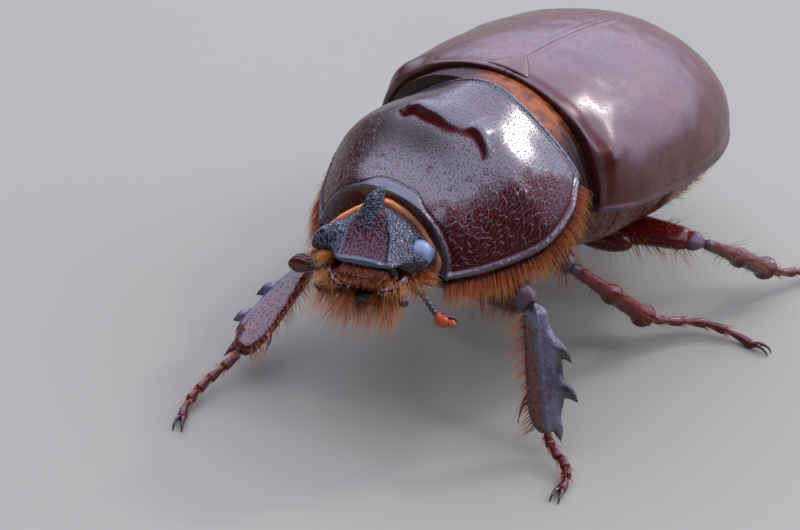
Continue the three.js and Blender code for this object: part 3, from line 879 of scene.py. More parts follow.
# lilac-grey body and glow: a painted sheen over the digging shin's face; its margins and teeth near-black
# (rim)
SHIN_SHELL = Shell(
    "shin_shell", "4a4b5e", "520906", "5c5d72", 0.2, 1.75, pit_gap=0.3, pit_size=0.2, pit_depth=0.06,
    rim="11151c", rim_share=0.95,
)
MOUTH_SHELL = Shell("mouth_shell", "3c0d0a", "1c0605", "4c120c", 0.16, 1.6, pit_gap=0.4, pit_size=0.15)
CLUB_SHELL = Shell(
    "club_shell", "b8501a", "8a2c0e", "d86a22", 0.4, 1.5, pit_gap=0.07, pit_size=0.35, pit_depth=0.01
)
# one skin in two copies: the neck's colours lightened as painted light where it lies in shade, the
# waist's darkened as painted shade
LIT_NECK_SKIN = Membrane("neck_fold", "f2a05a", "c4682c")
SHADED_WAIST_SKIN = Membrane("waist_fold", "9a5218", "502408")
EYE_LENS = Lens("eye_lens")
ORANGE_HAIR = Bristle("orange_hair")
LIP_HAIR = Bristle("lip_hair", "2c0a04", "903814", "dc7c30")
PALE_HAIR = Bristle("pale_hair", "6e300a", "cc7a24", "f0b862")


class Wardrobe:
    """Builds each finish once."""

    def __init__(self) -> None:
        """Start empty."""
        self.made: dict[str, Material] = {}

    def take(self, finish: Finish) -> Material:
        """The material of a finish."""
        if finish.name not in self.made:
            self.made[finish.name] = finish.material()
        return self.made[finish.name]


WARDROBE = Wardrobe()


def piece(
    name: str,
    mesh: Mesh,
    finish: Finish,
    role: Role,
    replaces: Sequence[str] = (),
    **layers: Array | float,
) -> None:
    """Turn a mesh in millimetres into a finished piece of the model, riding on the body.

    Args:
        name: The piece's name.
        mesh: Its mesh, taken over by the piece.
        finish: What it is dressed in.
        role: The record's slot it belongs to; not used.
        replaces: The frame's nodes it stands for.
        layers: Shares from 0 to 1 that a shell reads: coarse, hollow and rim.
    """
    if isinstance(finish, Shell):
        for layer in ("coarse", "hollow", "rim"):
            shares = np.clip(layers.get(layer, 0.0), 0, 1)
            paint(mesh, layer, np.broadcast_to(shares, len(mesh.vertices)))
    mesh.name = name
    mesh.transform(Matrix.Scale(MM, 4))
    mesh.materials.clear()
    mesh.materials.append(WARDROBE.take(finish))
    mesh.shade_smooth()
    obj = placed(name, mesh)
    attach(obj, "root")
    if replaces:
        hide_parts(*replaces)
    log.info("%s: %d faces", name, len(mesh.polygons))


# ---- hair


PATCH = 0.003  # width of one hair's patch on the unwrap


@dataclass
class Coat:
    """A coat of stiff hairs, one solid tapered mesh each, gathered into one piece."""

    name: str
    finish: Bristle
    role: Role
    thickness: float
    rings: int
    seed: int
    sides: int = 3
    clearance: float = 0.03  # hairs bend along the floor, this far above it
    roots: list[Array] = field(default_factory=list)

    def __post_init__(self) -> None:
        """Give the coat its own dice."""
        self.dice = np.random.default_rng(self.seed)

    def grow(self, points: Array, direction: Array, sag: Array, length: Array, unwrap: Array) -> None:
        """Add hairs.

        Args:
            points: Roots in the part's frame, N by 3.
            direction: Where each hair sets off, N by 3.
            sag: How its tip is drawn aside, as a share of its length, N by 3.
            length: Length of each hair.
            unwrap: The root's place on the unwrap of the skin, N by 2.
        """
        count = len(points)
        tint = self.dice.random(count)
        sags = np.broadcast_to(sag, (count, 3))
        self.roots.append(np.column_stack([points, unit(direction), sags, length, unwrap, tint]))

    def strand(self) -> Mesh:
        """One upright hair of length 1 and width 1, closed at both ends."""
        bm = bmesh.new()
        lift = Matrix.Translation((0, 0, 0.5))
        bmesh.ops.create_cone(
            bm, cap_ends=True, segments=self.sides, radius1=0.5, radius2=0.5, depth=1.0, matrix=lift
        )
        upright = [e for e in bm.edges if abs(e.verts[0].co.z - e.verts[1].co.z) > 0.5]
        bmesh.ops.subdivide_edges(bm, edges=upright, cuts=self.rings - 1, use_grid_fill=True)
        bmesh.ops.triangulate(bm, faces=[f for f in bm.faces if len(f.verts) > 4])
        return settled(bm, "strand")

    def build(self) -> None:
        """Gather the hairs into one piece."""
        rows = np.vstack(self.roots)
        strand = self.strand()
        shape = coordinates(strand)
        s = shape[:, 2]
        taper = 1 - 0.88 * s**1.4
        n, k = len(rows), len(shape)
        origin, way, sag = rows[:, 0:3], rows[:, 3:6], rows[:, 6:9]
        length, unwrap, tint = rows[:, 9], rows[:, 10:12], rows[:, 12]
        across = unit(np.cross(way, np.array([0.31, 0.52, 0.79])))
        over = np.cross(way, across)
        line = way[:, None, :] * s[None, :, None] + sag[:, None, :] * (s**2)[None, :, None]
        flank = across[:, None, :] * (shape[:, 0] * taper)[None, :, None]
        flank = flank + over[:, None, :] * (shape[:, 1] * taper)[None, :, None]
        spine = origin[:, None, :] + line * length[:, None, None]
        spine[:, :, 2] = np.maximum(spine[:, :, 2], self.clearance)
        points = spine + flank * self.thickness

        loops = np.empty(len(strand.loops), np.int64)
        strand.loops.foreach_get("vertex_index", loops)
        starts = np.empty(len(strand.polygons), np.int64)
        strand.polygons.foreach_get("loop_start", starts)
        faces, corners = len(starts), len(loops)
        mesh = bpy.data.meshes.new(self.name)
        mesh.vertices.add(n * k)
        mesh.loops.add(n * corners)
        mesh.polygons.add(n * faces)
        mesh.vertices.foreach_set("co", points.ravel())
        copies = np.arange(n)[:, None]
        all_loops = (loops[None, :] + copies * k).ravel()
        mesh.loops.foreach_set("vertex_index", all_loops.astype(np.int32))
        all_starts = (starts[None, :] + copies * corners).ravel()
        mesh.polygons.foreach_set("loop_start", all_starts.astype(np.int32))
        mesh.update(calc_edges=True)
        mesh.validate()
        paint(mesh, "reach", np.tile(s, n))
        paint(mesh, "tint", np.repeat(tint, k))

        flat = mesh.uv_layers.new(name="OFBake")
        in_patch = np.column_stack([shape[:, 0] + 0.5, s]) * PATCH
        centre = np.clip(unwrap, PATCH, 1 - PATCH) - PATCH / 2
        places = (centre[:, None, :] + in_patch[None, :, :]).reshape(-1, 2)[all_loops]
        flat.data.foreach_set("uv", places.astype(np.float32).ravel())
        bpy.data.meshes.remove(strand)
        piece(self.name, mesh, self.finish, self.role)


def scatter(
    dice: np.random.Generator, count: int, low: Sequence[float], high: Sequence[float]
) -> tuple[Array, Array]:
    """Evenly random u and v between two corners."""
    spread = dice.random((count, 2))
    return lerp(low[0], high[0], spread[:, 0]), lerp(low[1], high[1], spread[:, 1])


# ---- prothorax


@dataclass
class Prothorax:
    """The domed shield and the breast plate under it."""

    pose: Pose = Pose((0.55, -0.07, 11.7), -3.0, 8.8, -1.4)
    front: float = -10.7
    notch: float = 1.05
    lip: float = 0.3
    side_power: float = 1.16
    roof_power: float = 1.24
    base_power: float = 0.33  # added to both at the hind edge, which is flatter
    front_power: float = 0.3  # taken from the first at the front edge, which is squarer
    half_width: Stations = (
        (-10.7, 4.6), (-9.2, 5.85), (-7.4, 6.85), (-5, 7.78), (-2.6, 7.68), (-1, 6.9), (0, 6.35),
    )
    edge: Stations = ((-10.7, 0.15), (-6, 0.53), (-2, 1.58), (0, 1.98))
    rise: Stations = ((-10.7, 3.65), (-9, 4.3), (-6.5, 5.0), (-4.6, 5.2), (-2.5, 4.7), (0, 4.3))
    depth: Stations = ((-10.7, 2.2), (-7, 5), (-3, 5.6), (0, 5.2))
    ridge: Stations = (
        (-3.4, -4.7), (-2.7, -4.93), (-2.2, -4.76), (-1.4, -4.94), (-0.4, -5.02), (0.5, -5.1),
        (1.2, -4.95), (1.8, -4.7), (2.25, -4.72), (2.7, -4.9), (3.1, -5.15), (3.5, -5.5),
    )
    ridge_height: Stations = (
        (-3.5, 0), (-2.9, 0.32), (-2.2, 0.4), (-1.3, 0.34), (-0.6, 0.28), (0.1, 0.14), (0.9, 0.09),
        (1.45, 0.1), (1.8, 0.26), (2.2, 0.34), (2.8, 0.32), (3.2, 0.16), (3.5, 0),
    )
    # where the lower flank begins: the border of the sky's reflection; below it the shield is wrinkled
    # and carries painted shade
    flank_top: Stations = ((0, 0.78), (0.15, 0.74), (0.5, 0.7), (0.76, 0.55), (0.95, 0.12), (1, 0.06))
    cap: float = 0.06  # share of the rows on each end face
    axis_front: float = -9.0  # where the front face closes, behind the edge it hangs from

    def step_of(self, x: Array, y: Array) -> Array:
        """Height of the three-lobed step across the shield: steep in front, fading behind."""
        behind = y - through(self.ridge)(x)
        fading = bump(np.maximum(behind - 0.4, 0), 0, 1.5)
        return through(self.ridge_height)(x) * ease(behind / 0.46) * fading

    def drum(self, lift: Array, v: Array) -> tuple[Array, Array, Array, Array]:
        """Reach from the axis, share of the length, station and bowed Y of places on the drum."""
        reach, t = ends(v, self.cap)
        station = self.front * (1 - t)
        return reach, t, station, station + self.notch * np.abs(lift) ** 0.8 * (1 - t) ** 2

    def closed(self, t: Array, y: Array, reach: Array) -> Array:
        """Y drawn to the axis on the end faces."""
        return lerp(lerp(self.axis_front, 0.0, t), y, reach)

    def shield(self) -> Skin:
        """The shield's skin: u once round, its lower side a flat rim."""

        def place(u: Array, v: Array) -> Array:
            """Points of the shield; most of the columns run over its top."""
            angle = halves(u, 0.8)
            side, lift = np.cos(angle), np.sin(angle)
            reach, t, station, y = self.drum(lift, v)
            flatter = self.base_power * ease((t - 0.5) / 0.5)
            squarer = self.front_power * ease((0.25 - t) / 0.25)
            above = signed_power(side, self.side_power + flatter - squarer)
            x = through(self.half_width)(station) * np.where(lift >= 0, above, signed_power(side, 1.5))
            edge = through(self.edge)(station)
            hollow = -0.75 * bump(x, 0, 3.4) * bump(y, -7.2, 1.9)
            roof = through(self.rise)(station) * np.abs(lift) ** (self.roof_power + flatter)
            crown = -0.16 * bump(x, 0, 0.9) * ease((t - 0.6) / 0.3)
            over = edge + roof + (hollow + crown + self.step_of(x, y)) * ease(lift * 3)
            z = np.where(lift >= 0, over, edge - self.lip * ease(np.abs(lift) * 8))
            z = lerp(edge + 0.6, z, reach)
            return self.pose.world(np.column_stack([x * reach, self.closed(t, y, reach), z]))

        return Skin(place, self.shield_relief)

    def zones(self, points: Array) -> dict[str, Array]:
        """Distances and shares that the shield's relief and colours are laid out by."""
        x, y, z = self.pose.local(points).T
        station = np.clip(y, self.front, 0)
        over = z - through(self.edge)(station)
        from_side = np.hypot(through(self.half_width)(station) - np.abs(x), over * 0.9)
        share = np.clip(over / through(self.rise)(station), 0, 1)
        t = 1 - station / self.front
        flatter = self.base_power * ease((t - 0.5) / 0.5)
        lift = share ** (1 / (self.roof_power + flatter))
        from_front = y - (self.front + self.notch * lift**0.8)
        top = ease((over + self.lip * 0.5) / 0.15)
        border = through(self.flank_top)(t) - lift
        flank = ease((border + 0.1 * grain(points, 1.1, 3)) / 0.18 + 0.5)
        behind = y - through(self.ridge)(x)
        span = ease(through(self.ridge_height)(x) / 0.16)
        collar_width = 0.6 * ease((2.6 - np.abs(x)) / 1.6)
        return dict(
            side=from_side, front=from_front, base=-y, top=top, flank=flank, t=t, collar=collar_width,
            face=span * bump(behind, 0.2, 0.25), crest=span * bump(behind, 0.72, 0.28),
        )

    def shield_relief(self, u: Array, v: Array, points: Array) -> Array:
        """Rims, collar, ridge and wrinkles of the shield, as heights."""
        zone = self.zones(points)
        outer = ease((np.minimum(v, 1 - v) - self.cap * 0.9) / 0.01) * zone["top"]
        beads = 0.5 + 0.5 * grain(points, 0.2, 1)
        low_rim = ease((zone["base"] - 0.35) / 0.3)
        side, front, base, collar = (zone[name] for name in ("side", "front", "base", "collar"))
        side_rim = (0.05 + 0.1 * beads) * bump(side, 0.15, 0.14) - 0.07 * bump(side, 0.44, 0.13)
        front_rim = 0.07 * ease((collar + 0.25 - front) / 0.1) * ease(front / 0.08)
        front_rim = front_rim - 0.06 * bump(front, collar + 0.33, 0.08)
        base_rim = (0.03 + 0.05 * beads) * bump(base, 0.12, 0.1) - 0.07 * bump(base, 0.36, 0.11)
        inner = ease((side - 0.5) / 0.3) * ease((front - 0.6) / 0.3)
        stretched = points @ self.pose.matrix()[:3, :3]
        folds = np.abs(grain(stretched, (0.7, 0.3, 0.42), 2))
        corner = zone["flank"] * ease((0.45 - zone["t"]) / 0.3)
        wrinkles = 0.025 * (0.35 - folds) * zone["flank"] - 0.025 * cells(points, 0.4) * corner
        furrow = -0.03 * zone["face"] + 0.03 * zone["crest"]
        return outer * (side_rim * low_rim + front_rim + base_rim + furrow + wrinkles * inner)

    def breast(self) -> Skin:
        """The breast plate's skin, hidden above under the shield."""
        shrink = 0.97

        def place(u: Array, v: Array) -> Array:
            """Points of the breast plate; its top is flat."""
            angle = -halves(u, 0.75)
            side, lift = np.cos(angle), np.sin(angle)
            reach, t, station, y = self.drum(lift, v)
            x = shrink * through(self.half_width)(station) * signed_power(side, 1.5)
            edge, depth = through(self.edge)(station), through(self.depth)(station)
            drop = self.lip + 0.08 + (depth - self.lip) * np.maximum(-lift, 0)
            z = lerp(edge - 0.5, edge - drop, reach)
            return self.pose.world(np.column_stack([x * reach, self.closed(t, y, reach), z]))

        return Skin(place, lambda u, v, p: 0.05 * grain(p, 1.6, 3), outward=-1.0)

    def build(self) -> None:
        """Make and dress both plates and the fringe of hair between them."""
        mesh = bent_grid(self.shield(), 480, 206, middle=0.4, folded=False)
        points = coordinates(mesh)
        zone = self.zones(points)
        side_rim = bump(zone["side"], 0.14, 0.16) * ease((zone["base"] - 0.2) / 0.3)
        front_rim = ease((zone["collar"] + 0.25 - zone["front"]) / 0.12)
        base_rim = bump(zone["base"], 0.08, 0.16)
        # painted sheen on the side, front and hind rims, and a painted highlight along the ridge's crest
        rim = np.maximum.reduce([side_rim, 0.75 * front_rim, 0.8 * base_rim, 0.6 * zone["crest"]])
        piece(
            "shield", mesh, SHIELD_SHELL, Role.SHIELD, ["pronotum"],
            coarse=zone["flank"] * ease((zone["side"] - 0.35) / 0.3),
            # painted shade: the ridge's steep front face and the lower flank, deep red with a dimmed
            # reflection
            hollow=np.maximum(zone["face"], 0.6 * zone["flank"]),
            rim=rim * zone["top"],
        )
        plate = bent_grid(self.breast(), 150, 80)
        piece(
            "breast_plate", plate, PLATE_SHELL, Role.UNDERSIDE, ["prosternum"], coarse=0.6, hollow=0.4
        )
        for side in Side:
            self.fringe(side)
        self.breast_hair()

    def fringe(self, side: Side) -> None:
        """The row of curved bristles under one side edge of the shield."""
        name = f"shield_fringe_{side.word}"
        coat = Coat(name, ORANGE_HAIR, Role.UNDERSIDE, 0.042, rings=6, seed=11 + side.value)
        edge, half = through(self.edge), through(self.half_width)
        count = 1000
        y = np.sort(lerp(self.front + 0.2, -0.25, coat.dice.random(count)))
        tier = coat.dice.random(count)
        x = side.value * (half(y) - 0.1 - 0.45 * tier)
        z = edge(y) - self.lip - 0.03 - 0.3 * tier
        slope = (half(y + 0.05) - half(y - 0.05)) / 0.1
        out = unit(np.column_stack([np.full(count, side.value), -slope, np.zeros(count)]))
        jitter = coat.dice.normal(0, 0.09, (count, 3))
        down = np.array([0.0, 0.0, -1.0])
        sweep = lerp(-0.3, 0.55, (y - self.front) / -self.front)
        fan = np.column_stack([np.zeros(count), sweep, np.zeros(count)])
        way = 0.75 * out + 0.5 * down + fan + jitter
        sag = 0.42 * down - 0.3 * out + coat.dice.normal(0, 0.06, (count, 3))
        length = 1.7 * (0.55 + 0.55 * coat.dice.random(count)) * ease((y - self.front) / 0.8 + 0.6)
        unwrap = np.column_stack([0.5 + 0.4 * side.value - 0.1 * tier, 0.05 + 0.9 * (y / self.front)])
        points = self.pose.world(np.column_stack([x, y, z]))
        coat.grow(points, self.pose.turned(way), self.pose.turned(sag), length, unwrap)
        coat.build()

    def breast_hair(self) -> None:
        """Longer, looser hair over the breast plate and between the fore legs."""
        coat = Coat("breast_hair", ORANGE_HAIR, Role.UNDERSIDE, 0.034, rings=4, seed=21)
        skin = self.breast()
        u, v = scatter(coat.dice, 2000, (0.03, 0.12), (0.72, 0.93))
        here, normal, along = skin.frames(u, v)
        way = normal + 0.6 * along * coat.dice.normal(0.2, 0.5, len(u))[:, None]
        way = way + coat.dice.normal(0, 0.3, (len(u), 3))
        sag = np.column_stack([np.zeros((len(u), 2)), np.full(len(u), -0.3)])
        coat.grow(here, way, sag, 0.7 + 0.8 * coat.dice.random(len(u)), np.column_stack([u, v]))
        coat.build()


# ---- head


PROTHORAX = Prothorax()
HEAD_POSE = Pose((-0.28, -9.8, 1.08), 25.0, -15.5, 3.5, PROTHORAX.pose)


@dataclass
class Head:
    """The skull with its horn, eyes and the folded skin behind it."""

    pose: Pose = HEAD_POSE
    length: float = 5.6
    rear: float = -1.1
    half_width: Stations = (
        (-5.6, 1.45), (-5.2, 1.85), (-4.3, 2.2), (-3.5, 2.95), (-3, 3.38), (-2.2, 3.3), (-1, 3.05),
    )
    middle: Stations = ((-4.3, 0), (-3, -0.1), (-2, -0.5), (-1, -0.7))
    crown: Stations = ((-5.6, 0.1), (-5, 0.45), (-4, 1.1), (-3.1, 1.65), (-2.3, 2.05), (-1, 1.8))
    throat: Stations = ((-5.6, -0.12), (-5, -0.7), (-3.5, -1.7), (-1.5, -2.3))
    roof: Stations = ((-5.6, 1), (-4.3, 1.15), (-3, 1.4), (-1, 1.3))
    ridge_left: Stations = ((-5.2, 1.25), (-4, 1.05), (-3, 0.6), (-2.6, 0.35))
    ridge_right: Stations = ((-5.2, -1.55), (-4, -1.6), (-3, -1.49), (-2.6, -1.2))
    eye: Point = (2.62, -3.0, 0.1)
    eye_radius: float = 0.8
    horn_path: tuple[Point, ...] = (
        (-0.35, -2.9, 0.8), (-0.42, -2.6, 1.7), (-0.38, -2.4, 2.4), (-0.24, -2.2, 2.95),
        (-0.03, -2.05, 3.46),
    )
    neck_middle: float = -0.9
    cap: float = 0.05

    def skull(self) -> Skin:
        """The skull's skin, from the lip of the face to the neck."""

        def place(u: Array, v: Array) -> Array:
            """Points of the skull; most of the columns run over its face."""
            angle = halves(u, 0.7)
            reach, t = ends(v, self.cap)
            y = lerp(-self.length, self.rear, t)
            side, lift = np.cos(angle), np.sin(angle)
            top = lift >= 0
            roof = through(self.roof)(y)
            broad = np.where(top, signed_power(side, roof), signed_power(side, 1.4))
            far = np.where(top, through(self.crown)(y), through(self.throat)(y))
            z = lerp(through(self.middle)(y), far, np.where(top, np.abs(lift) ** roof, -lift))
            x = through(self.half_width)(y) * broad
            return self.pose.world(np.column_stack([x * reach, y, z * reach]))

        return Skin(place, self.relief)

    def zones(self, points: Array) -> dict[str, Array]:
        """Shares that the face's relief and colours are laid out by."""
        x, y, z = self.pose.local(points).T
        left, right = through(self.ridge_left)(y), through(self.ridge_right)(y)
        ahead = ease((-2.5 - y) / 0.5) * ease((y + 5.45) / 0.4)
        ridge = (bump(x, left, 0.13) + bump(x, right, 0.15)) * ahead
        centre = ease((left - x) / 0.16) * ease((x - right) / 0.16) * ease((-2.3 - y) / 0.5)
        lip = ease((-self.length + 0.34 - 0.12 * ease((x - 0.2) / 1.5) - y) / 0.14)
        eye = np.linalg.norm(np.column_stack([np.abs(x), y, z]) - self.eye, axis=1) - self.eye_radius
        gena = ease((np.abs(x) - 2.9) / 0.2) * ease((y + 2.6) / 0.5)
        middle = through(self.middle)(np.clip(y, -self.length, self.rear))
        top = ease((z - middle + 0.15) / 0.25) * ease((y + self.length + 0.01) / 0.05)
        return dict(x=x, y=y, z=z, ridge=ridge, centre=centre, lip=lip, eye=eye, gena=gena, top=top)

    def relief(self, u: Array, v: Array, points: Array) -> Array:
        """Ridges, lip, canthus, eye socket and net of walls on the face, as heights."""
        zone = self.zones(points)
        x, y, z = zone["x"], zone["y"], zone["z"]
        foot = 0.4 * mound((x, -0.35, 0.95), (y, -2.75, 0.65))
        plain = (1 - 0.4 * zone["lip"]) * (1 - zone["gena"]) * ease(-y - 1.5)
        net = 0.032 * cells(points, 0.3) * (1 - 0.5 * zone["centre"])
        rough = 0.02 * grain(points, 0.25, 2)
        socket = -0.06 * ease((0.1 - zone["eye"]) / 0.1) + 0.14 * bump(zone["eye"], 0.16, 0.12)
        canthus = 0.24 * bump(y, -3.5, 0.3) * ease((np.abs(x) - 2.2) / 0.6) * ease((z + 0.5) / 0.4)
        canthus = canthus + 0.2 * zone["gena"] * ease((z + 1.6) / 0.6)
        far_cheek = 0.52 * mound((x, -2.75, 0.85), (y, -3.35, 0.6)) * ease((z + 0.5) / 0.4)
        near_cheek = 0.45 * mound((x, 2.35, 0.8), (y, -4.1, 0.5), (z, -0.35, 0.5))
        dish = -0.16 * zone["centre"] * bump(y, -4.3, 1.0)
        uneven = 0.08 + 0.06 * grain(points, 0.6, 2)
        lift = 0.07 * zone["ridge"] + uneven * zone["lip"] + foot + dish + plain * (net + rough)
        return zone["top"] * (lift + socket) + canthus + far_cheek + near_cheek

    def horn(self) -> Skin:
        """The short blunt horn, flared at its foot."""

        def relief(u: Array, v: Array, points: Array) -> Array:
            """A net of walls that fades towards the tip."""
            return 0.03 * cells(points, 0.28) * ease((1 - v) / 0.4) + 0.01 * grain(points, 0.2, 2)

        path = Path(self.horn_path, (1, 0, 0), self.pose)
        return rod(path, tapering(1.25, 0.17, 0.07, 0.7), tapering(0.9, 0.2, 0.07, 0.8), relief)

    def neck(self) -> Skin:
        """The folded skin behind the skull, a ring that stands out round it."""
        cap = 0.14

        def place(u: Array, v: Array) -> Array:
            """Points of the neck, a drum with a swollen front edge."""
            reach, t = ends(v, cap)
            side, lift = np.cos(2 * math.pi * u), np.sin(2 * math.pi * u)
            roof = np.where(lift >= 0, 1.4, 1.0)
            tall = np.where(lift >= 0, lerp(3.15, 2.5, t), lerp(1.4, 1.2, t))
            x = lerp(3.75, 2.95, t) * reach * signed_power(side, roof)
            z = self.neck_middle + tall * reach * signed_power(lift, roof)
            bulge = 0.12 * np.sqrt(np.maximum(0, 1 - ((reach - 0.93) / 0.07) ** 2)) * (v < cap)
            flare = ease(side * 1.5) * ease((0.8 - lift) / 0.6) * (1 - t)
            x = x + 0.25 * reach * flare
            y = lerp(self.rear + 0.06, 0.9, t) - bulge - 0.9 * flare
            return self.pose.world(np.column_stack([x, y, z]))

        def relief(u: Array, v: Array, points: Array) -> Array:
            """Fine folds across the ring and round the neck."""
            drift = grain(points, 0.8, 2)
            across = 0.018 * np.sin(2 * math.pi * u * 150 + 3 * drift) * ease((v - 0.06) / 0.05)
            return across + 0.02 * np.sin(v * 60 + 2 * drift) + 0.015 * grain(points, 0.3, 2)

        return Skin(place, relief)

    def build(self) -> None:
        """Make and dress the skull, horn, eyes and neck."""
        mesh = bent_grid(self.skull(), 380, 220, middle=0.35, folded=False)
        zone = self.zones(coordinates(mesh))
        smooth = np.maximum(zone["lip"], zone["gena"])
        piece(
            "skull", mesh, HEAD_SHELL, Role.HEAD, ["head"],
            # coarse: the net of wrinkles, whose walls carry the shell's painted highlight
            coarse=(1 - 0.65 * zone["centre"]) * (1 - 0.4 * smooth) * zone["top"],
            # hollow: the face's centre in its own dark red, its reflection dimmed as painted shade
            hollow=0.9 * zone["centre"] * (1 - zone["lip"]),
            # rim: a painted grey-blue sheen on the lip, the cheeks and faintly on the ridges
            rim=np.maximum(0.6 * smooth, 0.15 * zone["ridge"]) * ease(-zone["y"] - 1.2),
        )
        horn = bent_grid(self.horn(), 84, 110)
        v = layer_of(horn, "v")
        piece(
            "horn_blunt", horn, HEAD_SHELL, Role.HEAD, ["horn"],
            # hollow: darker red and a dimmed reflection towards the foot; rim: a painted highlight
            # towards the tip
            coarse=ease((1.1 - v) / 0.5), hollow=0.5 * ease((0.35 - v) / 0.3),
            rim=0.7 * ease((v - 0.7) / 0.3),
        )
        neck = bent_grid(self.neck(), 420, 60)
        ring = layer_of(neck, "v")
        paint(neck, "edge", bump(ring, 0.13, 0.03))
        piece("neck_skin", neck, LIT_NECK_SKIN, Role.MEMBRANE, ["neck"])
        for side in Side:
            centre = np.array([self.eye]) * (side.value, 1, 1)
            eye = ball(self.pose.world(centre)[0], (self.eye_radius,) * 3, 64)
            piece(f"eye_{side.word}_lens", eye, EYE_LENS, Role.EYE, [f"eye_{side.word}"])


# ---- mouthparts and antennae


@dataclass(frozen=True)
class Tuft:
    """One brush of hair round the mouth; its roots fill a box of the head's frame."""

    count: int
    low: Point
    high: Point
    way: Point
    spread: float
    sag: Point
    length: float


BEARD = (
    Tuft(340, (-2.3, -5.2, -2.2), (-0.5, -4.2, -1.5), (-0.25, -0.85, -0.55), 0.26, (0, 0, -0.35), 1.9),
    Tuft(260, (0.7, -5.2, -2.2), (1.9, -4.2, -1.5), (0.2, -0.85, -0.5), 0.26, (0, 0, -0.35), 1.7),
    Tuft(420, (-1.5, -5.0, -2.9), (1.5, -3.0, -2.5), (0.0, -0.55, -0.85), 0.28, (0, -0.1, -0.1), 2.0),
    Tuft(130, (-2.6, -4.2, -1.9), (-2.0, -3.2, -1.3), (-0.8, -0.35, -0.4), 0.25, (0, 0, -0.2), 1.3),
    Tuft(130, (2.2, -4.2, -1.9), (2.7, -3.2, -1.3), (0.7, -0.3, -0.1), 0.3, (0, 0, -0.15), 1.2),
)
LIP_BRUSH = (
    Tuft(600, (-1.2, -5.6, -0.5), (1.35, -5.3, -0.22), (0.0, -0.8, -0.5), 0.32, (0, 0, -0.3), 0.5),
    Tuft(650, (-1.25, -5.75, -1.05), (1.35, -5.2, -0.75), (0.0, -0.9, -0.25), 0.28, (0, 0, -0.25), 0.55),
)
CHEEK_BRUSH = (
    Tuft(260, (-2.5, -4.5, -0.75), (-1.8, -3.7, -0.25), (-0.75, -0.75, 0.05), 0.2, (0, 0, -0.2), 1.05),
    Tuft(150, (2.0, -4.4, -1.5), (2.6, -3.6, -1.0), (0.85, -0.55, -0.05), 0.25, (0, 0, -0.2), 1.1),
    Tuft(240, (1.2, -5.7, -1.15), (2.35, -4.4, -0.8), (0.35, -0.75, -0.35), 0.25, (0, 0, -0.35), 0.95),
    Tuft(240, (-2.35, -5.7, -1.15), (-1.2, -4.4, -0.8), (-0.35, -0.75, -0.35), 0.25, (0, 0, -0.35), 0.95),
)
CANTHUS_BRISTLES = (
    Tuft(60, (2.6, -3.8, -1.2), (3.2, -3.2, -0.7), (0.95, -0.45, 0.0), 0.2, (0, 0, -0.1), 1.2),
    Tuft(60, (-3.2, -3.8, -1.2), (-2.6, -3.2, -0.7), (-0.95, -0.45, 0.0), 0.2, (0, 0, -0.1), 1.2),
)


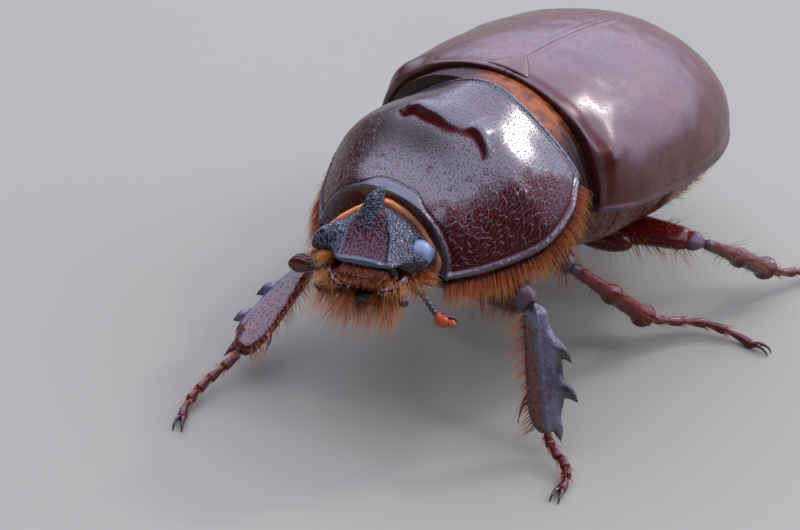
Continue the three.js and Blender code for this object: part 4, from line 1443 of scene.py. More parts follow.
@dataclass
class Mouthparts:
    """Upper lip, jaws, lower lip and palps, with the brushes round them."""

    pose: Pose = HEAD_POSE

    def rod(self, points: Sequence[Point], side: Point, wide: Curve, deep: Curve) -> Skin:
        """A rod in the head's frame."""
        path = Path(tuple(points), side, self.pose)
        return rod(path, wide, deep, relief=lambda u, v, p: 0.02 * grain(p, 0.3, 3))

    def lips(self) -> None:
        """Make and dress the upper and the lower lip."""
        upper = self.rod(
            [(0, -3.9, -0.75), (0.1, -5.1, -0.85), (0.2, -5.8, -0.95)], (1, 0, 0),
            tapering(1.15, 1.15, 0.3), tapering(0.32, 0.32, 0.3),
        )
        labrum = bent_grid(upper, 48, 36)
        piece("upper_lip", labrum, MOUTH_SHELL, Role.MOUTH, ["labrum"], hollow=0.3)
        lower = self.rod(
            [(0, -1.6, -2.1), (0.1, -3.6, -2.5), (0.3, -5.2, -2.25)], (1, 0, 0),
            tapering(1.5, 0.9, 0.25), tapering(0.5, 0.5, 0.3),
        )
        labium = bent_grid(lower, 48, 48)
        piece("lower_lip", labium, MOUTH_SHELL, Role.MOUTH, ["labium"], coarse=0.5, hollow=0.5)

    def jaw(self, side: Side) -> None:
        """One blunt dark jaw."""
        line = ((1.9, -3.3, -0.95), (2.15, -4.6, -1.1), (1.7, -5.6, -1.3), (1.0, -6.05, -1.45))
        points = [(side.value * x, y, z) for x, y, z in line]
        skin = self.rod(points, (0, 0, 1), tapering(0.5, 0.25, 0.2), tapering(0.42, 0.25, 0.2))
        mesh = bent_grid(skin, 32, 48)
        piece(f"jaw_{side.word}", mesh, MOUTH_SHELL, Role.HEAD, [f"mandible_{side.word}"], hollow=0.4)

    def palp(self, side: Side) -> None:
        """One feeler of the mouth: four joints, each narrower at its foot."""
        line = ((1.5, -3.9, -2.2), (2.1, -4.6, -2.3), (2.45, -5.2, -2.1), (2.55, -5.6, -1.7))
        path = Path(tuple((side.value * x, y, z) for x, y, z in line), (0, 0, 1), self.pose)
        joints = (0.0, 0.22, 0.46, 0.7, 1.0)
        skins = [bead(path, start, end, 0.2, 0.27) for start, end in zip(joints, joints[1:])]
        mesh = joined([bent_grid(skin, 20, 20) for skin in skins])
        node = f"palp_{side.word}"
        piece(f"mouth_feeler_{side.word}", mesh, MOUTH_SHELL, Role.MOUTH, [node], rim=0.15)

    def brush(self, coat: Coat, tufts: Sequence[Tuft]) -> None:
        """Grow a coat's tufts and gather them."""
        dice = coat.dice
        for tuft in tufts:
            low, high = np.array(tuft.low), np.array(tuft.high)
            at = lerp(low, high, dice.random((tuft.count, 3)))
            fan = (at - (low + high) / 2) * np.array([0.35, 0.0, 0.15])
            aim = np.array(tuft.way) + fan + dice.normal(0, tuft.spread, (tuft.count, 3))
            unwrap = np.column_stack([0.5 + at[:, 0] * 0.12, 0.5 + at[:, 1] * 0.07])
            sag = np.array(tuft.sag) + dice.normal(0, 0.07, (tuft.count, 3))
            length = tuft.length * (0.5 + 0.65 * dice.random(tuft.count))
            aim, sag = self.pose.turned(aim), self.pose.turned(sag)
            coat.grow(self.pose.world(at), aim, sag, length, unwrap)
        coat.build()

    def build(self) -> None:
        """Make and dress the mouthparts and their brushes."""
        self.lips()
        for side in Side:
            self.jaw(side)
            self.palp(side)
        self.brush(Coat("beard", ORANGE_HAIR, Role.MOUTH, 0.03, rings=5, seed=31), BEARD)
        self.brush(Coat("lip_brush", LIP_HAIR, Role.MOUTH, 0.03, rings=5, seed=37), LIP_BRUSH)
        self.brush(Coat("cheek_brush", PALE_HAIR, Role.MOUTH, 0.034, rings=5, seed=33), CHEEK_BRUSH)
        bristles = Coat("canthus_bristles", ORANGE_HAIR, Role.MOUTH, 0.055, rings=5, seed=35)
        self.brush(bristles, CANTHUS_BRISTLES)


def bead(path: Path, start: float, end: float, foot: float, head: float) -> Skin:
    """One joint of a feeler or foot, narrow at its foot and rounded at its head.

    Args:
        path: The line that the joints follow.
        start: Share of the path where it begins.
        end: Share where it ends.
        foot: Half width near its foot.
        head: Half width near its head.

    Returns:
        The joint's skin.
    """

    def shape(t: Array) -> Array:
        """Half width along the joint."""
        return lerp(foot, head, ease(t * 1.25)) * rounded(t, 0.14)

    def place(u: Array, v: Array) -> Array:
        """Points of the joint on the long path."""
        here, _, out, normal = path.frames(lerp(start, end, v))
        angle = 2 * math.pi * u
        size = shape(v)
        across, up = np.cos(angle) * size, np.sin(angle) * size
        return here + out * across[:, None] + normal * up[:, None]

    return Skin(place, lambda u, v, p: 0.008 * grain(p, 0.2, 2))


@dataclass
class Antenna:
    """One feeler: a long first joint, small beads and a club of three leaves."""

    side: Side
    stalk: tuple[Point, ...]
    across: Point
    leaves: tuple[tuple[Point, Point], ...]
    back: tuple[Point, Point]
    glossy: bool
    pose: Pose = HEAD_POSE

    def leaf(self, centre: Point, half: Point) -> Mesh:
        """One leaf of the club, an ellipsoid in the head's frame."""
        turn = Matrix(self.pose.matrix().tolist())
        return ball(self.pose.world(np.array([centre]))[0], half, 40, turn)

    def build(self) -> None:
        """Make and dress the stalk and the club."""
        path = Path(self.stalk, self.across, self.pose)
        beads = [bent_grid(bead(path, 0.0, 0.42, 0.17, 0.34), 28, 28)]
        joints = np.linspace(0.42, 1.0, 7)
        for i, (start, end) in enumerate(zip(joints, joints[1:])):
            beads.append(bent_grid(bead(path, start, end, 0.14, 0.23 - 0.01 * i), 24, 14))
        word = self.side.word
        piece(f"feeler_{word}", joined(beads), HEAD_SHELL, Role.MOUTH, [f"antenna_{word}"], rim=0.5)
        club = joined([self.leaf(centre, half) for centre, half in self.leaves])
        finish = MOUTH_SHELL if self.glossy else CLUB_SHELL
        piece(f"feeler_club_{word}", club, finish, Role.CLUB, [f"antenna_club_{word}"])
        piece(f"feeler_back_{word}", self.leaf(*self.back), MOUTH_SHELL, Role.CLUB)


# ---- hindbody


@dataclass
class Hindbody:
    """Wing cases, the small plate between them, thorax, abdomen and the waist's skin."""

    pose: Pose = Pose((-0.43, -0.36, 10.87), 1.1, -6.8)
    front: float = 1.3
    tail: float = 23.4
    wide: float = 9.3
    widest: float = 9.0  # the station where it is widest
    high: float = 6.95
    highest: float = 8.0
    coxa_line: float = 9.2
    shell: float = 0.75
    belly: Stations = ((0, 4.8), (5, 5.6), (9.5, 5.1), (16, 4.2), (21, 2.6), (23.4, 0.8))
    rings: tuple[float, ...] = (11.3, 13.2, 15.1, 17.0, 18.9, 20.9)  # hind edges of the belly's rings

    @property
    def end(self) -> float:
        """Where the outline closes, a little behind the last station."""
        return self.tail + 0.05

    def half_width(self, y: Array) -> Array:
        """Half width over the wing cases."""
        ahead = oval(y, self.widest, 11, 3.6)
        behind = oval(y, self.widest, self.end - self.widest, 2.5)
        return self.wide * np.where(y < self.widest, ahead, behind)

    def rise(self, y: Array) -> Array:
        """Height of the wing cases over their side edges."""
        ahead = oval(y, self.highest, 15.5, 2.3)
        behind = oval(y, self.highest, self.end - self.highest, 2.6)
        return self.high * np.where(y < self.highest, ahead, behind)

    def point(self, angle: Array, y: Array, inset: Array | float = 0.0) -> Array:
        """Points of the hindbody's surface, or of one lying inset inside it."""
        side, lift = np.cos(angle), np.sin(angle)
        width = np.maximum(self.half_width(y) - inset, 0.02)
        top = lift >= 0
        x = width * np.where(top, signed_power(side, 1.08), signed_power(side, 1.2))
        over = np.maximum(self.rise(y) - inset, 0.02) * np.abs(lift) ** 0.86
        below = through(self.belly)(y) * lift * np.minimum(1, width / 5)
        return np.column_stack([x, y, np.where(top, over, below)])

    def station(self, t: Array) -> Array:
        """Rows crowd towards the tail, where the outline turns fastest."""
        return lerp(self.front, self.tail, np.sin(t * math.pi / 2) ** 0.9)

    def case(self, side: Side) -> Skin:
        """One wing case, from its folded front edge to the tail and round its inner face."""
        gap = 0.03  # half the open seam
        turned = 0.02  # share of the rows in the front edge's fold
        back = 0.62  # share of the columns on the outer face

        def place(u: Array, v: Array) -> Array:
            """Points of the case: u runs out over its back, round the edge and back inside."""
            outer = u < back
            over = np.where(outer, u / back, (1 - u) / (1 - back))
            angle = (1 - over) * math.pi / 2
            y = self.station(np.clip((v - turned) / (1 - turned), 0, 1))
            fold = 1 - np.clip(v / turned, 0, 1)
            points = self.point(angle, y, np.where(outer, 0.0, self.shell * 0.8) + 0.25 * fold**2)
            points[:, 1] -= 0.06 * (1 - fold**2) * (v < 1.5 * turned)
            points[:, 0] = np.maximum(points[:, 0], gap) * side.value
            return self.pose.world(points)

        def relief(u: Array, v: Array, points: Array) -> Array:
            """The groove beside the seam, the shoulder knob and the side rim."""
            x, y, z = self.pose.local(points).T
            out = ease((back - u) / 0.01)
            aside = np.abs(x)
            seam = -0.025 * bump(aside, 0.5, 0.1) + 0.01 * bump(aside, 0.25, 0.15)
            shoulder = 0.36 * mound((aside, 7.4, 0.95), (y, 2.4, 1.1), (z, 3.3, 1.5))
            dimple = -0.14 * mound((aside, 6.1, 0.7), (y, 2.0, 0.7))
            edge = 0.12 * bump(z, 0.15, 0.22) - 0.06 * bump(z, 0.65, 0.22)
            front = 0.05 * bump(y, self.front + 0.12, 0.14) - 0.04 * bump(y, self.front + 0.4, 0.14)
            end = ease((self.tail - 0.4 - y) / 0.6)
            swell = 0.06 * grain(points, 2.4, 2)
            return out * end * (seam + shoulder + dimple + edge + front + swell)

        return Skin(place, relief)

    def cases(self) -> None:
        """Make and dress both wing cases."""
        for side in Side:
            mesh = bent_grid(self.case(side), 190, 170, middle=0.31, folded=False)
            x, y, z = self.pose.local(coordinates(mesh)).T
            edge = bump(z, 0.15, 0.3)
            front = bump(y, self.front, 0.25)
            behind_front = bump(y, self.front + 0.5, 0.35)
            low = ease((3.4 - z) / 2.6)
            piece(
                f"wing_case_{side.word}", mesh, CASE_SHELL, Role.WING_CASE, [f"elytron_{side.word}"],
                # painted shade: darker red and a dimmed reflection just behind the front edge and over
                # the lower sides
                hollow=np.maximum(0.7 * behind_front, 0.35 * low),
                # painted sheen: the grey-blue rim colour along the side edge and the front edge
                rim=np.maximum(0.6 * edge, 0.2 * front),
            )

    def scutellum(self) -> None:
        """Make and dress the small plate between the wing cases."""
        drops = ((1.5, 0.15), (2.5, 0.1), (3.6, 0.05))
        points = tuple((0, y, float(self.rise(np.array(y))) - drop) for y, drop in drops)
        path = Path(points, (1, 0, 0), self.pose)
        skin = rod(path, tapering(1.5, 0.2, 0.1, 1.3), tapering(0.3, 0.3, 0.1))
        piece("scutellum_plate", bent_grid(skin, 48, 40), CASE_SHELL, Role.SHIELD, ["scutellum"])

    def core(self, low: float, high: float, tail_cap: bool) -> Skin:
        """The body inside the wing cases between two stations; a tail closes by its own curve."""
        inset = self.shell + 0.06

        def place(u: Array, v: Array) -> Array:
            """Points of the core; its ends close on its axis."""
            reach, t = ends(v, 0.05, both=not tail_cap)
            y = lerp(low, high, np.sin(t * math.pi / 2) if tail_cap else t)
            points = self.point(-2 * math.pi * u, y, inset)
            points[:, 0] *= reach
            points[:, 2] *= reach
            return self.pose.world(points)

        return Skin(place, outward=-1.0)

    def underside(self) -> None:
        """Make and dress the thorax and the ringed abdomen, with their hair."""
        thorax = self.core(self.front, self.coxa_line, tail_cap=False)

        def thorax_relief(u: Array, v: Array, points: Array) -> Array:
            """Seams between the side plates and a groove down the middle."""
            x, y, z = self.pose.local(points).T
            low = ease((0.3 - z) / 0.3)
            middle = -0.12 * bump(x, 0, 0.18) * ease((-z - 3) / 0.5)
            slant = y - 0.55 * z - 6.5
            seams = -0.16 * bump(slant, 0, 0.12) - 0.14 * bump(y + 0.2 * z - 3.3, 0, 0.12)
            return low * (middle + seams * ease((-0.3 - z) / 0.4)) + 0.04 * cells(points, 0.5)

        thorax.relief = thorax_relief
        mesh = bent_grid(thorax, 200, 90)
        piece("thorax_plates", mesh, PLATE_SHELL, Role.UNDERSIDE, ["thorax"], coarse=0.4, hollow=0.3)

        abdomen = self.core(self.coxa_line, self.tail - self.shell - 0.06, tail_cap=True)

        def abdomen_relief(u: Array, v: Array, points: Array) -> Array:
            """A step at the hind edge of each ring."""
            x, y, z = self.pose.local(points).T
            low = ease((0.2 - z) / 0.4)
            steps = 0.0
            for ring in self.rings:
                steps = steps + 0.16 * ease((ring - y) / 0.9 + 1) * ease((ring - y + 0.02) / 0.12)
                steps = steps - 0.1 * bump(y, ring + 0.08, 0.1)
            fade = ease((22.0 - y) / 1.2)
            return low * fade * (0.4 * steps - 0.12) + 0.02 * cells(points, 0.45)

        abdomen.relief = abdomen_relief
        mesh = bent_grid(abdomen, 200, 150)
        y = self.pose.local(coordinates(mesh))[:, 1]
        seams = sum(bump(y, ring + 0.1, 0.2) for ring in self.rings)
        piece(
            "abdomen_rings", mesh, PLATE_SHELL, Role.UNDERSIDE, ["abdomen"], coarse=0.25, hollow=seams
        )
        self.belly_hair(thorax)

    def belly_hair(self, thorax: Skin) -> None:
        """Dense orange hair on the thorax and a sparse row on each ring."""
        for side in Side:
            name, seed = f"thorax_hair_{side.word}", 41 + side.value
            coat = Coat(name, PALE_HAIR, Role.UNDERSIDE, 0.035, rings=4, seed=seed)
            low, high = (0.03, 0.25) if side is Side.LEFT else (0.25, 0.47)
            u, v = scatter(coat.dice, 3000, (low, 0.08), (high, 0.9))
            here, normal, along = thorax.frames(u, v)
            aside = side.value * np.array([0.25, 0, -0.25])
            way = normal + 0.8 * along + aside + coat.dice.normal(0, 0.25, (len(u), 3))
            sag = 0.3 * along + np.array([0, 0, -0.15])
            coat.grow(here, way, sag, 0.9 + 0.8 * coat.dice.random(len(u)), np.column_stack([u, v]))
            coat.build()
        coat = Coat("abdomen_hair", PALE_HAIR, Role.UNDERSIDE, 0.03, rings=4, seed=51)
        count = 330
        for ring in self.rings:
            share = coat.dice.random(count)
            y = ring - 0.12 + coat.dice.normal(0, 0.05, count)
            angle = -math.pi * lerp(0.04, 0.96, share)
            points = self.point(angle, y, self.shell + 0.02)
            out = unit(points * np.array([1, 0, 1]))
            way = 0.55 * out + np.array([0, 0.8, 0]) + coat.dice.normal(0, 0.12, (count, 3))
            unwrap = np.column_stack([share * 0.5, 0.3 + (y - 9) / 22])
            length = 0.6 + 0.5 * coat.dice.random(count)
            coat.grow(self.pose.world(points), self.pose.turned(way), np.zeros(3), length, unwrap)
        coat.build()

    def waist(self) -> None:
        """Make and dress the folded skin before the wing cases."""
        width = float(self.half_width(np.array(self.front))) - 0.6
        height = float(self.rise(np.array(self.front))) - 0.25
        base = PROTHORAX.pose

        def place(u: Array, v: Array) -> Array:
            """Points of the waist, from the shield's base to the wing cases."""
            angle = 2 * math.pi * u
            reach, t = ends(v, 0.15)
            lift = np.sin(angle)
            x = width * np.cos(angle) * reach
            z = np.where(lift > 0, height * lift, 3.6 * lift) * reach
            far = self.pose.world(np.column_stack([x, np.full_like(x, self.front - 0.05), z]))
            near = self.pose.world(np.column_stack([x, np.full_like(x, -2.5), z]))
            level_far = base.local(far)[:, 1] - 0.06
            level_near = base.local(near)[:, 1] - 0.06
            share = level_far / np.maximum(level_far - level_near, TINY)
            start = lerp(far, near, np.clip(share, 0.02, 1)[:, None])
            return lerp(start, far, t[:, None])

        def relief(u: Array, v: Array, points: Array) -> Array:
            """Folds round the waist."""
            folds = 0.025 * np.sin(v * 40 + 3 * grain(points, 1.2, 2))
            return folds + 0.02 * grain(points, 0.4, 2) - 0.01

        mesh = bent_grid(Skin(place, relief), 160, 30)
        x = self.pose.local(coordinates(mesh))[:, 0]
        paint(mesh, "shade", 0.95 * np.maximum(ease((0.3 - x) / 2.2), ease((x - 4.2) / 1.6)))
        piece("waist_skin", mesh, SHADED_WAIST_SKIN, Role.MEMBRANE, ["waist"])

    def build(self) -> None:
        """Make and dress the whole hindbody."""
        self.cases()
        self.scutellum()
        self.underside()
        self.waist()


# ---- legs


class Pair(Named):
    """The three pairs of legs: half sizes of the coxa and of the thigh, up and across."""

    FORE = ((2.1, -3.4, 6.8), (2.1, 1.3, 1.5), (1.7, 1.3))
    MIDDLE = ((2.7, 2.6, 5.6), (1.7, 1.1, 1.1), (1.2, 1.1))
    HIND = ((3.3, 7.9, 5.1), (3.1, 1.2, 1.1), (1.05, 1.55))


@dataclass
class Leg:
    """One leg, from its joints under the waist."""

    pair: Pair
    side: Side
    root: Point
    knee: Point
    ankle: Point
    toe: tuple[Point, ...]
    outward: Point

    @property
    def word(self) -> str:
        """The leg's name inside piece names."""
        return f"{self.pair.word}_{self.side.word}"

    @property
    def out(self) -> Array:
        """The direction in which the shin is broad."""
        return unit(np.array(self.outward, float))

    @property
    def axis(self) -> Array:
        """The shin from knee to ankle."""
        return np.array(self.ankle, float) - np.array(self.knee, float)

    def along(self, t: float) -> Array:
        """A point of the shin's middle line."""
        return lerp(np.array(self.knee, float), np.array(self.ankle, float), t)

    def offset(self, t: float, reach: float) -> Point:
        """A point beside the shin, reach outwards."""
        return tuple(self.along(t) + self.out * reach)

    def coxa(self) -> None:
        """The first joint, a smooth swelling half sunk in the breast."""
        at, size, _ = self.pair.value
        centre = np.array([self.side.value * at[0], at[1], at[2]]) - STANCE_CENTRE
        mesh = ball(centre, size, 64)
        piece(f"hip_{self.word}", mesh, LEG_SHELL, Role.LEG, [f"coxa_{self.word}"], hollow=0.3)

    def femur_skin(self) -> Skin:
        """The thigh's skin."""
        tall, broad = self.pair.value[2]
        middle = (np.array(self.root) + np.array(self.knee)) / 2 + np.array([0, 0, 0.15])
        path = Path((self.root, tuple(middle), self.knee), (0, 0, 1))

        def taper(t: Array) -> Array:
            """Share of the thigh's girth."""
            return rounded(t, 0.22) * lerp(1, 0.6, ease(t))

        return rod(path, lambda t: tall * taper(t), lambda t: broad * taper(t), self.femur_relief)

    def femur_relief(self, u: Array, v: Array, points: Array) -> Array:
        """A blunt keel above and below, and the collar before the knee."""
        keel = 0.05 * (bump(u, 0.0, 0.05) + bump(u, 0.5, 0.05) + bump(u, 1.0, 0.05))
        collar = -0.08 * bump(v, 0.86, 0.03) + 0.05 * bump(v, 0.93, 0.04)
        return keel + collar + 0.02 * grain(points, 0.8, 3)

    def femur(self) -> None:
        """Make and dress the thigh."""
        mesh = bent_grid(self.femur_skin(), 72, 72)
        collar = ease((layer_of(mesh, "v") - 0.87) / 0.05)
        node = f"femur_{self.word}"
        # painted sheen: the grey-blue rim colour over the knee's lobes
        piece(f"thigh_{self.word}", mesh, LEG_SHELL, Role.LEG, [node], hollow=0.8, rim=collar)

    def thorn(
        self, foot: tuple[float, float], tip: tuple[float, float], thick: float, fine: int = 20
    ) -> Mesh:
        """A bent, tapering thorn in the plane of the shin.

        Args:
            foot: Share along the shin and reach outwards of its root.
            tip: The same of its tip.
            thick: Half thickness at its root.
            fine: Facets round it.

        Returns:
            Its closed mesh.
        """
        blade = np.cross(self.axis, self.out)
        bend = lerp(foot[0], tip[0], 0.35)
        points = (self.offset(*foot), self.offset(bend, lerp(foot[1], tip[1], 0.6)), self.offset(*tip))
        finest = 0.05
        skin = rod(
            Path(points, tuple(blade)),
            lambda t: np.maximum(finest, min(0.75 * thick, 0.48) * (1 - t) ** 0.7) * rounded(t, 0.04),
            lambda t: np.maximum(finest, thick * (1 - t) ** 1.1) * rounded(t, 0.04),
        )
        return bent_grid(skin, fine, 24)

    def fore_shin(self) -> Mesh:
        """The broad digging shin with three teeth outside and one spur inside."""
        blade_width = through(((0, 0.5), (0.2, 0.85), (0.5, 1.1), (0.8, 1.05), (1, 0.6)))
        points = tuple(self.offset(t, 0.3 * math.sin(math.pi * t)) for t in (0.0, 0.33, 0.66, 1.0))
        path = Path(points, self.outward)
        blade = rod(path, lambda t: blade_width(t) * rounded(t, 0.08), tapering(0.52, 0.52, 0.08))
        teeth = (
            ((0.35, 0.65), (0.49, 1.95), 0.9),
            ((0.65, 0.6), (0.79, 2.1), 1.0),
            ((0.85, 0.2), (1.1, 0.9), 0.8),
        )
        parts = [bent_grid(blade, 48, 64)] + [self.thorn(*tooth, fine=28) for tooth in teeth]
        parts.append(self.thorn((0.68, -0.5), (0.91, -1.55), 0.28))
        return fused(parts, 0.05, 3)

    def walking_shin(self) -> Mesh:
        """A slender shin, keeled past its middle and flared at the ankle, with a crown of spines."""

        def swell(t: Array) -> Array:
            """Half thickness along the shin."""
            keel, ankle = 0.2 * bump(t, 0.53, 0.05), 0.3 * bump(t, 0.95, 0.07)
            return (lerp(0.42, 0.62, ease(t * 1.3)) + keel + ankle) * rounded(t, 0.06)

        path = Path((self.knee, self.ankle), self.outward)
        shaft = rod(path, swell, lambda t: 0.85 * swell(t))
        parts = [bent_grid(shaft, 40, 80)]
        parts += [self.thorn((0.92, s * 0.35), (1.15, s * 0.95), 0.26) for s in (1, -1)]
        parts.append(self.thorn((0.5, 0.5), (0.62, 1.05), 0.22))
        parts.append(self.thorn((0.3, 0.4), (0.38, 0.75), 0.16))
        return fused(parts, 0.055, 2)

    def tibia(self) -> None:
        """Make and dress the shin."""
        mesh = self.fore_shin() if self.pair is Pair.FORE else self.walking_shin()
        points = coordinates(mesh)
        axis, out = self.axis, self.out
        rel = points + STANCE_CENTRE - np.array(self.knee)
        share = rel @ axis / (axis @ axis)
        aside = rel @ out
        across = rel @ unit(np.cross(out, axis))
        digging = self.pair is Pair.FORE
        round_it = aside + 0.5 * across if digging else np.arctan2(across, aside) * 0.8
        paint_lay(mesh, round_it, share * np.linalg.norm(axis))
        height = 0.02 * grain(points, 0.5, 3)
        if digging:
            height += 0.13 * bump(aside, 0.12, 0.16)
            height -= 0.1 * bump(aside, 0.95, 0.35) * np.cos((share - 0.5) * 20)
        set_coordinates(mesh, points + vertex_normals(mesh) * height[:, None])
        inner = ease((0.1 - aside + 0.15 * grain(points, 0.8, 2)) / 0.35) * ease((share - 0.08) / 0.1)
        # rim: near-black margins, teeth and knee end on the digging shin, whose face is a painted sheen;
        # a painted grey-blue highlight on the outer side and knee end of a walking shin
        margin = ease((aside - 0.75) / 0.6) if digging else 0.3 * ease((aside - 0.35) / 0.25)
        rim = np.maximum(margin, ease((0.07 - share) / 0.04))
        finish = SHIN_SHELL if digging else LEG_SHELL
        node = f"tibia_{self.word}"
        piece(f"shin_{self.word}", mesh, finish, Role.LEG, [node], hollow=inner, rim=rim)

    def foot(self) -> None:
        """Make and dress the five beads of the foot and its two claws."""
        path = Path((self.ankle, *self.toe), self.outward)
        joints = (0.0, 0.17, 0.34, 0.5, 0.66, 1.0)
        heads = (0.31, 0.31, 0.31, 0.31, 0.29)
        overlaps = (0.015, 0.015, 0.015, 0.015, 0.0)
        beads = []
        for start, end, head, overlap in zip(joints, joints[1:], heads, overlaps):
            beads.append(bent_grid(bead(path, start, end + overlap, 0.16, head), 24, 20))
        mesh = joined(beads)
        set_coordinates(mesh, self.lowered(coordinates(mesh)))
        node = f"tarsus_{self.word}"
        piece(f"foot_{self.word}", mesh, LEG_SHELL, Role.LEG, [node], hollow=0.4, rim=0.1)
        claws = joined([self.claw(path, s) for s in (1, -1)])
        piece(f"claws_{self.word}", claws, MOUTH_SHELL, Role.LEG)

    def lowered(self, points: Array) -> Array:
        """Points with nothing under the floor."""
        points = points.copy()
        points[:, 2] = np.maximum(points[:, 2], 0.0)
        return points

    def claw(self, path: Path, apart: int) -> Mesh:
        """One curved claw whose point rests on the floor."""
        tip = path.at(np.array([1.0]))[0]
        ahead = tip - path.at(np.array([0.97]))[0]
        ahead = unit(np.array([ahead[0], ahead[1], 0.0]))
        sideways = np.array([-ahead[1], ahead[0], 0.0])

        def at(forward: float, aside: float, height: float) -> Point:
            """A point of the claw before the foot's tip."""
            point = tip + ahead * forward + sideways * aside * apart
            return (point[0], point[1], height)

        points = (at(-0.15, 0.06, 0.26), at(0.3, 0.16, 0.44), at(0.8, 0.24, 0.34), at(1.1, 0.26, 0.03))
        skin = rod(Path(points, tuple(sideways)), tapering(0.17, 0.03, 0.06))
        mesh = bent_grid(skin, 16, 28)
        set_coordinates(mesh, self.lowered(coordinates(mesh)))
        return mesh

    def hair(self) -> None:
        """Bristles along the thigh, inside the shin and at each joint of the foot."""
        seed = 60 + hash_of(self.word)
        coat = Coat(f"leg_hair_{self.word}", ORANGE_HAIR, Role.LEG, 0.036, rings=5, seed=seed)
        self.thigh_hair(coat)
        self.shin_hair(coat)
        self.foot_hair(coat)
        coat.build()

    def thigh_hair(self, coat: Coat) -> None:
        """Bristles along the thigh, most of them below."""
        dice = coat.dice
        skin = self.femur_skin()
        u, v = scatter(dice, 300, (0.0, 0.1), (1.0, 0.85))
        here, normal, along = skin.frames(u, v)
        low = ease((here[:, 2].mean() + 0.6 - here[:, 2]) / 0.8)
        keep = dice.random(len(u)) < 0.15 + 0.85 * low
        here, normal, along, u, v = here[keep], normal[keep], along[keep], u[keep], v[keep]
        way = normal * 0.8 + 0.5 * along + dice.normal(0, 0.2, here.shape)
        length = 0.7 + 0.9 * dice.random(len(u))
        coat.grow(here, way, np.array([0, 0, -0.2]), length, np.column_stack([u * 0.4, v * 0.4]))

    def shin_hair(self, coat: Coat) -> None:
        """Bristles inside the shin, and outside it too on the walking legs."""
        dice = coat.dice
        digging = self.pair is Pair.FORE
        count = 190
        out, axis = self.out, unit(self.axis)
        blade = np.cross(out, axis)
        t = lerp(0.08, 0.97, dice.random(count))
        width = 0.75 if digging else 0.45
        inward = np.where(dice.random(count) < 0.75, -1.0, -1.0 if digging else 1.0)
        at = np.array([self.along(s) for s in t]) + out * (inward * width * 0.8)[:, None]
        at = at + blade * dice.normal(0, 0.2, count)[:, None] - STANCE_CENTRE
        way = out * inward[:, None] * 0.9 + axis * lerp(0.2, 0.8, dice.random(count))[:, None]
        way = way + blade * dice.normal(0, 0.35, count)[:, None]
        unwrap = np.column_stack([0.5 + 0.4 * t, np.full(count, 0.2)])
        coat.grow(at, way, axis * 0.15, 0.5 + 1.1 * dice.random(count), unwrap)

    def foot_hair(self, coat: Coat) -> None:
        """A whorl of bristles at each joint of the foot."""
        dice = coat.dice
        path = Path((self.ankle, *self.toe), self.outward)
        joints = np.repeat((0.02, 0.17, 0.34, 0.5, 0.66), 26)
        joints = joints + dice.normal(0, 0.01, len(joints))
        here, tangent, side, normal = path.frames(np.clip(joints, 0, 1))
        spin = 2 * math.pi * dice.random(len(joints))
        ring = side * np.cos(spin)[:, None] + normal * np.sin(spin)[:, None]
        length = 0.35 + 0.35 * dice.random(len(joints))
        unwrap = np.column_stack([0.5 + 0.4 * joints, 0.7 + 0.04 * spin])
        coat.grow(here + ring * 0.2, ring * 0.7 + tangent, tangent * 0.1, length, unwrap)

    def build(self) -> None:
        """Make and dress the whole leg."""
        self.coxa()
        self.femur()
        self.tibia()
        self.foot()
        self.hair()


def hash_of(word: str) -> int:
    """A small number that is always the same for a word."""
    return sum(ord(letter) for letter in word) % 97


LEGS = (
    Leg(
        Pair.FORE, Side.LEFT, (2.4, -4.6, 7.2), (8.6, -7.6, 9.0), (11.1, -8.55, 1.5),
        ((12.2, -9.2, 1.1), (13.25, -9.55, 0.65), (13.8, -10.4, 0.4), (14.0, -11.2, 0.25)),
        (0.8, 0.56, 0.2),
    ),
    Leg(
        Pair.FORE, Side.RIGHT, (-2.4, -4.6, 7.2), (-7.0, -7.4, 4.9), (-7.0, -14.1, 1.7),
        ((-7.3, -15.9, 1.1), (-7.3, -17.6, 0.75), (-7.1, -19.0, 0.4), (-6.6, -20.1, 0.22)),
        (-0.95, 0.22, -0.05),
    ),
    Leg(
        Pair.MIDDLE, Side.LEFT, (2.6, 3.0, 6.2), (6.8, -0.4, 7.45), (9.4, 5.5, 2.2),
        ((10.1, 7.0, 1.6), (11.5, 9.2, 1.0), (13.2, 10.1, 0.5), (14.6, 10.2, 0.22)),
        (0.6, -0.3, 0.5),
    ),
    Leg(
        Pair.MIDDLE, Side.RIGHT, (-3.4, 3.0, 6.2), (-7.9, 0.4, 7.4), (-10.6, 5.4, 1.9),
        ((-11.5, 6.6, 1.2), (-12.9, 8.3, 0.75), (-14.2, 9.4, 0.4), (-15.3, 10.0, 0.22)),
        (-0.6, -0.3, 0.5),
    ),
    Leg(
        Pair.HIND, Side.LEFT, (2.6, 8.4, 5.0), (10.2, 10.2, 5.8), (11.85, 16.3, 1.9),
        ((12.3, 17.8, 1.2), (13.2, 19.9, 0.75), (14.1, 21.6, 0.4), (14.7, 22.8, 0.22)),
        (0.9, 0, 0.3),
    ),
    Leg(
        Pair.HIND, Side.RIGHT, (-3.8, 8.4, 5.0), (-10.2, 10.6, 5.7), (-11.8, 17.2, 1.9),
        ((-12.1, 18.8, 1.2), (-12.8, 20.9, 0.75), (-13.6, 22.7, 0.4), (-14.3, 23.9, 0.22)),
        (-0.9, 0, 0.3),
    ),
)

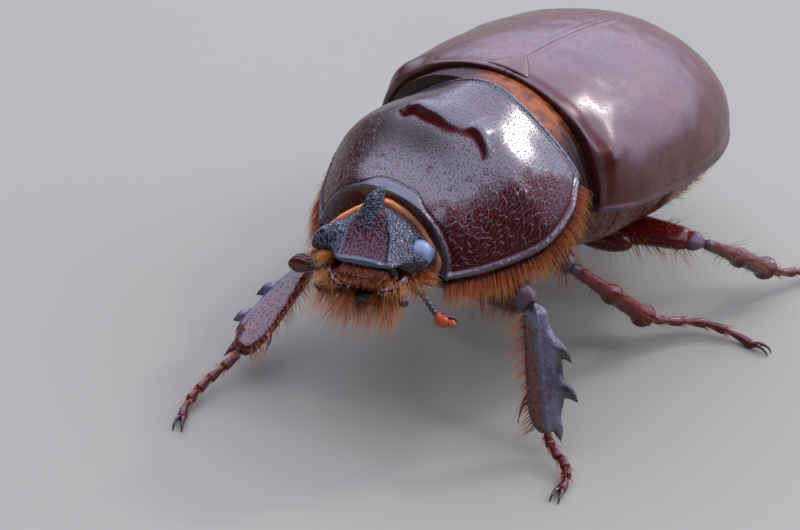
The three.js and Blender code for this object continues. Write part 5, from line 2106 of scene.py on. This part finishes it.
ANTENNAE = (
    Antenna(
        Side.LEFT,
        (
            (2.1, -3.4, -1.0), (2.75, -4.0, -1.6), (3.25, -4.0, -1.95), (3.79, -4.0, -2.59),
            (4.2, -4.0, -3.1),
        ),
        (0.3, -0.9, -0.2),
        (
            ((4.3, -4.1, -3.18), (0.24, 0.34, 0.4)),
            ((4.62, -4.15, -3.3), (0.34, 0.28, 0.36)),
            ((5.08, -4.1, -3.33), (0.26, 0.22, 0.24)),
        ),
        ((4.72, -3.92, -3.16), (0.66, 0.22, 0.3)),
        False,
    ),
    Antenna(
        Side.RIGHT,
        (
            (-2.1, -3.4, -1.0), (-2.7, -3.95, -1.05), (-3.0, -4.1, -1.05), (-3.2, -4.2, -1.1),
            (-3.45, -4.25, -1.2),
        ),
        (0, 0.2, 1),
        (
            ((-3.98, -4.42, -1.3), (0.66, 0.17, 0.46)),
            ((-3.95, -4.16, -1.26), (0.64, 0.17, 0.46)),
            ((-3.9, -3.9, -1.22), (0.6, 0.17, 0.44)),
        ),
        ((-3.7, -4.2, -1.34), (0.36, 0.34, 0.38)),
        True,
    ),
)


# ---- studio


@dataclass
class Studio:
    """Floor, light and camera. Angles are degrees, lengths millimetres."""

    camera_at: Point = (89.295, -152.755, 109.110)
    azimuth: float = 31.996
    elevation: float = 30.987
    roll: float = 5.861
    lens: float = 150.603
    floor_half: float = 1500.0
    keys: tuple[tuple[float, ...], ...] = ((13.0, 44.0, 60.0, 0.5), (78.0, 54.0, 42.0, 0.18))
    key_distance: float = 500.0
    canopy_at: tuple[float, float] = (9.0, 60.0)
    flag: tuple[float, float] = (124.4, 27.0)  # bearing and height of the dark card beside the shield
    canopy: tuple[float, ...] = (2.1, 2.1, 2.9, 1.0)
    dusk: tuple[float, ...] = (0.1, 0.09, 0.09, 1.0)

    def direction(self, azimuth: float, elevation: float) -> Vector:
        """A unit direction from a bearing clockwise from +Y and a height."""
        a, e = math.radians(azimuth), math.radians(elevation)
        return Vector((math.sin(a) * math.cos(e), math.cos(a) * math.cos(e), math.sin(e)))

    def camera(self) -> None:
        """Place the camera."""
        a, e, r = (math.radians(x) for x in (self.azimuth, self.elevation, self.roll))
        back = Vector((math.sin(a) * math.cos(e), -math.cos(a) * math.cos(e), math.sin(e)))
        right = Vector((math.cos(a), math.sin(a), 0.0))
        up = back.cross(right)
        across = right * math.cos(r) + up * math.sin(r)
        above = up * math.cos(r) - right * math.sin(r)
        data = bpy.data.cameras.new("camera")
        data.lens = self.lens
        data.sensor_width = 36.0
        data.sensor_fit = "HORIZONTAL"
        data.clip_start, data.clip_end = 0.01, 20.0
        camera = placed("camera", data)
        turn = Matrix((across, above, back)).transposed().to_4x4()
        camera.matrix_world = Matrix.Translation(Vector(self.camera_at) * MM) @ turn
        bpy.context.scene.camera = camera

    def floor(self) -> None:
        """Lay the pale floor."""
        bm = bmesh.new()
        bmesh.ops.create_grid(bm, x_segments=2, y_segments=2, size=self.floor_half * MM)
        mesh = settled(bm, "floor")
        bench = Bench("floor_paper")
        tone = bench.mixed(bench.clouds(40.0, 2.0), colour("8e8e7d"), colour("949483"))
        bench.set(Base_Color=tone, Roughness=0.85)
        mesh.materials.append(bench.material)
        floor = placed("floor", mesh)

    def sky(self) -> None:
        """Light the scene from a wide soft canopy behind and above."""
        world = bpy.data.worlds.new("studio")
        bpy.context.scene.world = world
        world.use_nodes = True
        nodes = Nodes(world.node_tree)
        place = nodes.add("ShaderNodeTexCoord").outputs["Generated"]
        split = nodes.add("ShaderNodeSeparateXYZ")
        nodes.put(split.inputs[0], place)

        def along(azimuth: float, elevation: float) -> Socket:
            """How near a direction lies to an axis, as a cosine."""
            axis = self.direction(azimuth, elevation)
            return nodes.vectors("DOT_PRODUCT", place, axis).outputs["Value"]

        share = nodes.step(along(*self.canopy_at), 0.26, 0.52)
        share = nodes.times(share, nodes.step(split.outputs[2], -0.05, 0.3))
        share = nodes.times(share, nodes.step(along(*self.flag), 0.95, 0.72))
        light = nodes.add("ShaderNodeBackground")
        nodes.put(light.inputs["Color"], nodes.mixed(share, self.dusk, self.canopy))
        output = nodes.add("ShaderNodeOutputWorld")
        nodes.put(output.inputs["Surface"], light.outputs[0])

    def key(self, azimuth: float, elevation: float, width: float, energy: float) -> None:
        """Hang a soft key light."""
        data = bpy.data.lights.new("key", "AREA")
        data.shape = "DISK"
        data.size = width * MM
        data.energy = energy
        data.color = (1.0, 0.98, 0.95)
        light = placed("key", data)
        way = self.direction(azimuth, elevation)
        light.location = (Vector((0, 0, 8)) + way * self.key_distance) * MM
        light.rotation_euler = way.to_track_quat("Z", "Y").to_euler()

    def build(self) -> None:
        """Set up the whole studio."""
        self.camera()
        self.floor()
        self.sky()
        for key in self.keys:
            self.key(*key)
        bpy.context.scene.view_settings.view_transform = "Standard"


# ---- the whole model


def main() -> None:
    """Build the beetle from head to tail and light it."""
    logging.basicConfig(level=logging.INFO, format="%(message)s")
    Studio().build()
    PROTHORAX.build()
    Head().build()
    Mouthparts().build()
    for antenna in ANTENNAE:
        antenna.build()
    Hindbody().build()
    for leg in LEGS:
        leg.build()


if __name__ == "__main__":
    main()
